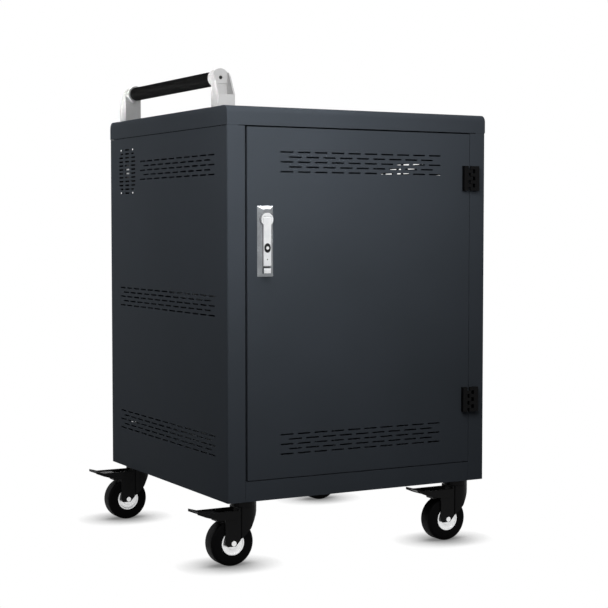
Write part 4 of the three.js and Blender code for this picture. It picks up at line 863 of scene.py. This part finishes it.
@dataclass
class CasterWheel:
    """Tyre and hub of one caster, which stand for the plain CAD ones."""

    tread_edge: float = 6.5
    tread_steps: int = 6
    turn_steps: int = 64
    rim: float = 3.2
    dish: float = 2.0
    web: float = 8.5
    bore: float = 4.35
    bore_reach: float = 0.5
    hub_edge: float = 0.5
    seat_gap: float = 0.3
    smooth_angle: float = 30.0

    def build(self) -> None:
        """Models one wheel and copies it to the four corners."""
        low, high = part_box(f"{CORNERS[0]}_caster_tyre")
        hub_low, hub_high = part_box(f"{CORNERS[0]}_caster_hub")
        outer = (high.x - low.x) / 2 / MM
        hub = (hub_high.x - hub_low.x) / 2 / MM
        tyre = self.tyre(outer, hub + self.seat_gap, (high.y - low.y) / MM)
        core = self.hub(hub, (hub_high.y - hub_low.y) / MM)
        for corner in CORNERS:
            axle = middle(f"{corner}_caster_tyre")
            for pattern, node, finish in ((tyre, "tyre", TYRE_RUBBER), (core, "hub", ZINC_PLATE)):
                piece = Bench.copy(pattern, f"{corner}_wheel_{node}")
                Bench.put(piece, axle, Facing.UP if node == "tyre" else Facing.BACK)
                Bench.dress(piece, finish, f"{corner}_wheel", self.smooth_angle)
                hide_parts(f"{corner}_caster_{node}")
        bpy.data.objects.remove(tyre)
        bpy.data.objects.remove(core)

    def tyre(self, outer: float, inner: float, width: float) -> bpy.types.Object:
        """Spins the tyre's section about the axle.

        Args:
            outer: Radius of the tread.
            inner: Radius of the seat on the hub.
            width: Width of the tread.

        Returns:
            The tyre, about the origin with its axle along Y.
        """
        Bench.clear()
        bpy.ops.mesh.primitive_plane_add(size=1.0, location=((outer + inner) / 2 * MM, 0.0, 0.0))
        piece = bpy.context.object
        piece.name = "tyre_pattern"
        piece.scale = ((outer - inner) * MM, width * MM, 1.0)
        Bench.settle(piece)
        Bench.pick_edges(piece, lambda a, b: min(a.x, b.x) > outer * MM - NEAR)
        bpy.ops.mesh.bevel(offset=self.tread_edge * MM, segments=self.tread_steps, affect="VERTICES")
        bpy.ops.mesh.select_all(action="SELECT")
        bpy.ops.mesh.delete(type="ONLY_FACE")
        bpy.ops.mesh.select_all(action="SELECT")
        bpy.ops.mesh.spin(steps=self.turn_steps, angle=2 * math.pi,
                          center=(0.0, 0.0, 0.0), axis=(0.0, 1.0, 0.0))
        bpy.ops.mesh.select_all(action="SELECT")
        bpy.ops.mesh.remove_doubles(threshold=NEAR)
        bpy.ops.mesh.normals_make_consistent(inside=False)
        Bench.clear()
        return piece

    def hub(self, radius: float, width: float) -> bpy.types.Object:
        """Models a hub with a dished web between its rim and its boss, and a bore through it.

        Args:
            radius: Radius of the rim.
            width: Width over the bosses.

        Returns:
            The hub, about the origin with its axle along Z.
        """
        piece = Bench.disc("hub_pattern", radius, width, self.turn_steps)
        piece.location.z = -width / 2 * MM
        Bench.settle(piece)
        face = width / 2 * MM
        boss = radius - self.rim - self.web
        for way in (1, -1):
            Bench.pick_faces(piece, lambda centre, normal: (
                normal.z * way > FACES and abs(centre.z * way - face) < NEAR))
            Bench.inset(self.rim)
            Bench.extrude(-way * self.dish)
            Bench.inset(self.web)
            Bench.extrude(way * self.dish)
            Bench.inset(boss - self.bore)
        reach = self.bore_reach * MM
        Bench.pick_faces(piece, lambda centre, normal: abs(normal.z) > FACES and centre.xy.length < reach)
        bpy.ops.mesh.bridge_edge_loops()
        Bench.clear()
        Bench.round_edges(piece, self.hub_edge)
        return piece


@dataclass
class PowerDetails:
    """Outlets on the power strips and the pins of the mains inlet."""

    outlet_count: int = 8
    outlet_pitch: float = 56.0
    face_size: float = 33.0
    face_rise: float = 1.2
    face_corner: float = 4.0
    corner_steps: int = 4
    well_inset: float = 3.0
    well_depth: float = 0.7
    pin_slot: tuple[float, float] = (2.2, 7.0)
    pin_spread: float = 6.4
    earth_radius: float = 2.6
    earth_drop: float = 7.5
    earth_sides: int = 16
    blade: tuple[float, float, float] = (2.0, 4.0, 11.0)
    blade_spread: float = 7.0
    blade_lift: float = 2.0
    cutter_height: float = 3.0
    cut_floor: float = 0.2
    slot_lift: float = 2.0
    pin_seat: float = 0.3
    pin_edge: float = 0.6

    def build(self) -> None:
        """Places the outlets and the pins."""
        self.outlets()
        self.pins()

    def outlets(self) -> None:
        """Models one outlet face and copies it along both strips."""
        face = Bench.slab("outlet_pattern", (self.face_size, self.face_size, self.face_rise))
        top = self.face_rise * MM
        Bench.pick_edges(face, lambda a, b: abs(a.z - b.z) > top / 2)
        Bench.bevel(self.face_corner, self.corner_steps)
        Bench.pick_faces(face, lambda centre, normal: normal.z > FACES)
        Bench.inset(self.well_inset)
        Bench.extrude(-self.well_depth)
        Bench.clear()
        for across in (-1, 1):
            cutter = Bench.slab("cutter", (*self.pin_slot, self.cutter_height), self.cut_floor)
            cutter.location = (across * self.pin_spread * MM, self.slot_lift * MM, 0.0)
            Bench.settle(cutter)
            Bench.carve(face, cutter)
        earth = Bench.disc("cutter", self.earth_radius, self.cutter_height, self.earth_sides)
        earth.location = (0.0, -self.earth_drop * MM, self.cut_floor * MM)
        Bench.settle(earth)
        Bench.carve(face, earth)
        for tier in TIERS:
            node = f"{tier}_power_strip"
            centre = middle(node)
            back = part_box(node)[1].y
            for number in range(self.outlet_count):
                outlet = Bench.copy(face, f"{tier}_outlet_{number + 1}")
                across = (number - (self.outlet_count - 1) / 2) * self.outlet_pitch * MM
                Bench.put(outlet, Vector((centre.x + across, back, centre.z)), Facing.BACK)
                Bench.dress(outlet, GREY_ABS, "cabinet")
        bpy.data.objects.remove(face)

    def pins(self) -> None:
        """Models one pin and copies it to the three places in the inlet's socket."""
        socket = next(o for o in frame["record"]["physics"]["openings"] if o["name"] == "inlet_socket")
        low, high = (Vector(corner) for corner in socket["box_m"])
        centre = (low + high) / 2
        pin = Bench.slab("pin_pattern", self.blade)
        Bench.pick_edges(pin, lambda a, b: min(a.z, b.z) > self.blade[2] * MM / 2)
        Bench.bevel(self.pin_edge)
        for number, (across, up) in enumerate(((-1, -1), (0, 1), (1, -1)), start=1):
            copy = Bench.copy(pin, f"inlet_pin_{number}")
            place = Vector((centre.x + across * self.blade_spread * MM, low.y - self.pin_seat * MM,
                            centre.z + up * self.blade_lift * MM))
            Bench.put(copy, place, Facing.BACK)
            Bench.dress(copy, ZINC_PLATE, "cabinet")
        bpy.data.objects.remove(pin)


@dataclass(frozen=True)
class Lamp:
    """Soft lamp. Its place and target are in metres from the middle of the cap, its spread in degrees."""

    name: str
    place: tuple[float, float, float]
    target: tuple[float, float, float]
    width: float
    height: float
    power: float
    spread: float = 180.0

    def hang(self, origin: Vector) -> None:
        """Hangs the lamp facing its target.

        Args:
            origin: Middle of the cap.
        """
        place = Vector(self.place)
        bpy.ops.object.light_add(type="AREA", location=origin + place)
        lamp = bpy.context.object
        lamp.name = self.name
        lamp.data.shape = "RECTANGLE"
        lamp.data.size = self.width
        lamp.data.size_y = self.height
        lamp.data.spread = math.radians(self.spread)
        lamp.data.energy = self.power
        lamp.rotation_euler = (Vector(self.target) - place).to_track_quat("-Z", "Y").to_euler()


LAMPS = (
    Lamp("key_lamp", place=(-0.416, -0.814, 0.14), target=(-0.28, -0.315, -0.43),
         width=0.7, height=0.7, power=4.25),
    Lamp("fill_lamp", place=(0.25, -0.75, 0.05), target=(0.05, -0.315, -0.05),
         width=0.35, height=0.35, power=0.45),
    Lamp("side_lamp", place=(-0.9, 0.43, 0.01), target=(-0.313, 0.27, -0.265),
         width=0.7, height=0.7, power=1.4),
    # A narrow beam on the lock, whose upper bevel is bright in the photograph
    Lamp("lock_lamp", place=(0.25, -0.58, 0.66), target=(-0.2285, -0.32, -0.19),
         width=0.15, height=0.15, power=0.018, spread=14.0),
    # A strip with a narrow beam, for the bright flanks that the handle has in the photograph
    Lamp("handle_lamp", place=(-0.9, 0.0, 0.03), target=(-0.313, 0.0, 0.067),
         width=0.7, height=0.03, power=0.19, spread=10.0),
    Lamp("upper_lamp", place=(0.1, 0.2, 1.4), target=(0.0, 0.1, 0.0), width=0.8, height=0.8, power=4.0),
    Lamp("right_lamp", place=(1.4, 0.0, 0.3), target=(0.313, 0.0, -0.3), width=0.8, height=0.8, power=10.0),
    Lamp("back_lamp", place=(0.0, 1.4, 0.3), target=(0.0, 0.315, -0.3), width=0.8, height=0.8, power=10.0),
)


@dataclass
class Studio:
    """Floor, light and camera of the photograph."""

    floor_size: float = 24.0
    floor_colour: str = "#606060"
    floor_roughness: float = 0.9
    shadow_reach: float = 0.075
    shadow_depth: float = 0.8
    shadow_power: float = 3.2
    shadow_samples: int = 16
    world_strength: float = 0.04
    camera_offset: tuple[float, float] = (-1.6175, -3.0046)
    camera_height: float = 0.6934
    yaw: float = 28.80
    pitch: float = -3.03
    lens: float = 88.6
    sensor: float = 36.0

    def build(self) -> None:
        """Builds the whole studio."""
        self.floor()
        self.world()
        self.lights()
        self.camera()
        bpy.context.scene.view_settings.view_transform = "Standard"

    def floor(self) -> None:
        """Lays a pale floor that stays white to the camera except in shadow."""
        Bench.clear()
        bpy.ops.mesh.primitive_plane_add(size=self.floor_size, location=(0.0, 0.0, 0.0))
        floor = bpy.context.object
        floor.name = "studio_floor"
        material = bpy.data.materials.new("matt_white_floor")
        material.use_nodes = True
        tree = material.node_tree
        shader = tree.nodes["Principled BSDF"]
        shader.inputs["Base Color"].default_value = linear(self.floor_colour)
        shader.inputs["Roughness"].default_value = self.floor_roughness
        shader.inputs["Specular IOR Level"].default_value = 0.0
        # The shadow where something stands on the floor or just above it
        nearness = add_node(tree, "ShaderNodeAmbientOcclusion", settings={"samples": self.shadow_samples},
                            values={"Distance": self.shadow_reach})
        falling = add_node(tree, "ShaderNodeMath", settings={"operation": "POWER"},
                           links={0: nearness.outputs["AO"]}, values={1: self.shadow_power})
        white = add_node(tree, "ShaderNodeMapRange", links={"Value": falling.outputs["Value"]},
                         values={"To Min": 1.0 - self.shadow_depth, "To Max": 1.0})
        glow = add_node(tree, "ShaderNodeEmission", links={"Strength": white.outputs["Result"]})
        shown = add_node(tree, "ShaderNodeMixShader", links={
            0: self.seen_directly(tree), 1: shader.outputs["BSDF"], 2: glow.outputs["Emission"]})
        output = next(node for node in tree.nodes if node.type == "OUTPUT_MATERIAL")
        tree.links.new(shown.outputs["Shader"], output.inputs["Surface"])
        floor.data.materials.append(material)

    @staticmethod
    def seen_directly(tree: bpy.types.NodeTree) -> bpy.types.NodeSocket:
        """Adds a test for rays from the camera, from gloss and through glass.

        Args:
            tree: Node tree that gets the test.

        Returns:
            Socket that is 1 for such a ray and 0 for any other.
        """
        path = add_node(tree, "ShaderNodeLightPath")
        first = add_node(tree, "ShaderNodeMath", settings={"operation": "MAXIMUM"},
                         links={0: path.outputs["Is Camera Ray"], 1: path.outputs["Is Glossy Ray"]})
        second = add_node(tree, "ShaderNodeMath", settings={"operation": "MAXIMUM"},
                          links={0: first.outputs["Value"], 1: path.outputs["Is Transmission Ray"]})
        return second.outputs["Value"]

    def world(self) -> None:
        """Gives a white backdrop to the camera and a soft even light to the rest."""
        world = bpy.data.worlds.new("studio_world")
        bpy.context.scene.world = world
        world.use_nodes = True
        tree = world.node_tree
        output = next(node for node in tree.nodes if node.type == "OUTPUT_WORLD")
        lit = tree.nodes["Background"]
        lit.inputs["Color"].default_value = (1.0, 1.0, 1.0, 1.0)
        lit.inputs["Strength"].default_value = self.world_strength
        white = add_node(tree, "ShaderNodeBackground",
                         values={"Color": (1.0, 1.0, 1.0, 1.0), "Strength": 1.0})
        mixed = add_node(tree, "ShaderNodeMixShader", links={
            0: self.seen_directly(tree), 1: lit.outputs["Background"], 2: white.outputs["Background"]})
        tree.links.new(mixed.outputs["Shader"], output.inputs["Surface"])

    @staticmethod
    def lights() -> None:
        """Hangs the lamps for the front, left side, lock, handle, top, right side and back."""
        for lamp in LAMPS:
            lamp.hang(middle("top_cap"))

    def camera(self) -> None:
        """Sets the camera at the photograph's place, aim and lens."""
        yaw, pitch = math.radians(self.yaw), math.radians(self.pitch)
        level = math.cos(pitch)
        aim = Vector((math.sin(yaw) * level, math.cos(yaw) * level, math.sin(pitch)))
        cart = middle("top_cap")
        place = (cart.x + self.camera_offset[0], cart.y + self.camera_offset[1], self.camera_height)
        bpy.ops.object.camera_add(location=place)
        camera = bpy.context.object
        camera.name = "studio_camera"
        camera.data.lens = self.lens
        camera.data.sensor_width = self.sensor
        camera.rotation_euler = aim.to_track_quat("-Z", "Y").to_euler()
        bpy.context.scene.camera = camera


def main() -> None:
    """Builds and dresses the cart, then the studio round it."""
    logging.basicConfig(level=logging.INFO, format="%(name)s: %(message)s")
    CabinetPaint().dress()
    PressedParts().build()
    ShadeSheets().build()
    FanDetails().build()
    HandleDetails().build()
    LockDetails().build()
    CasterWheel().build()
    PowerDetails().build()
    Studio().build()


if __name__ == "__main__":
    main()
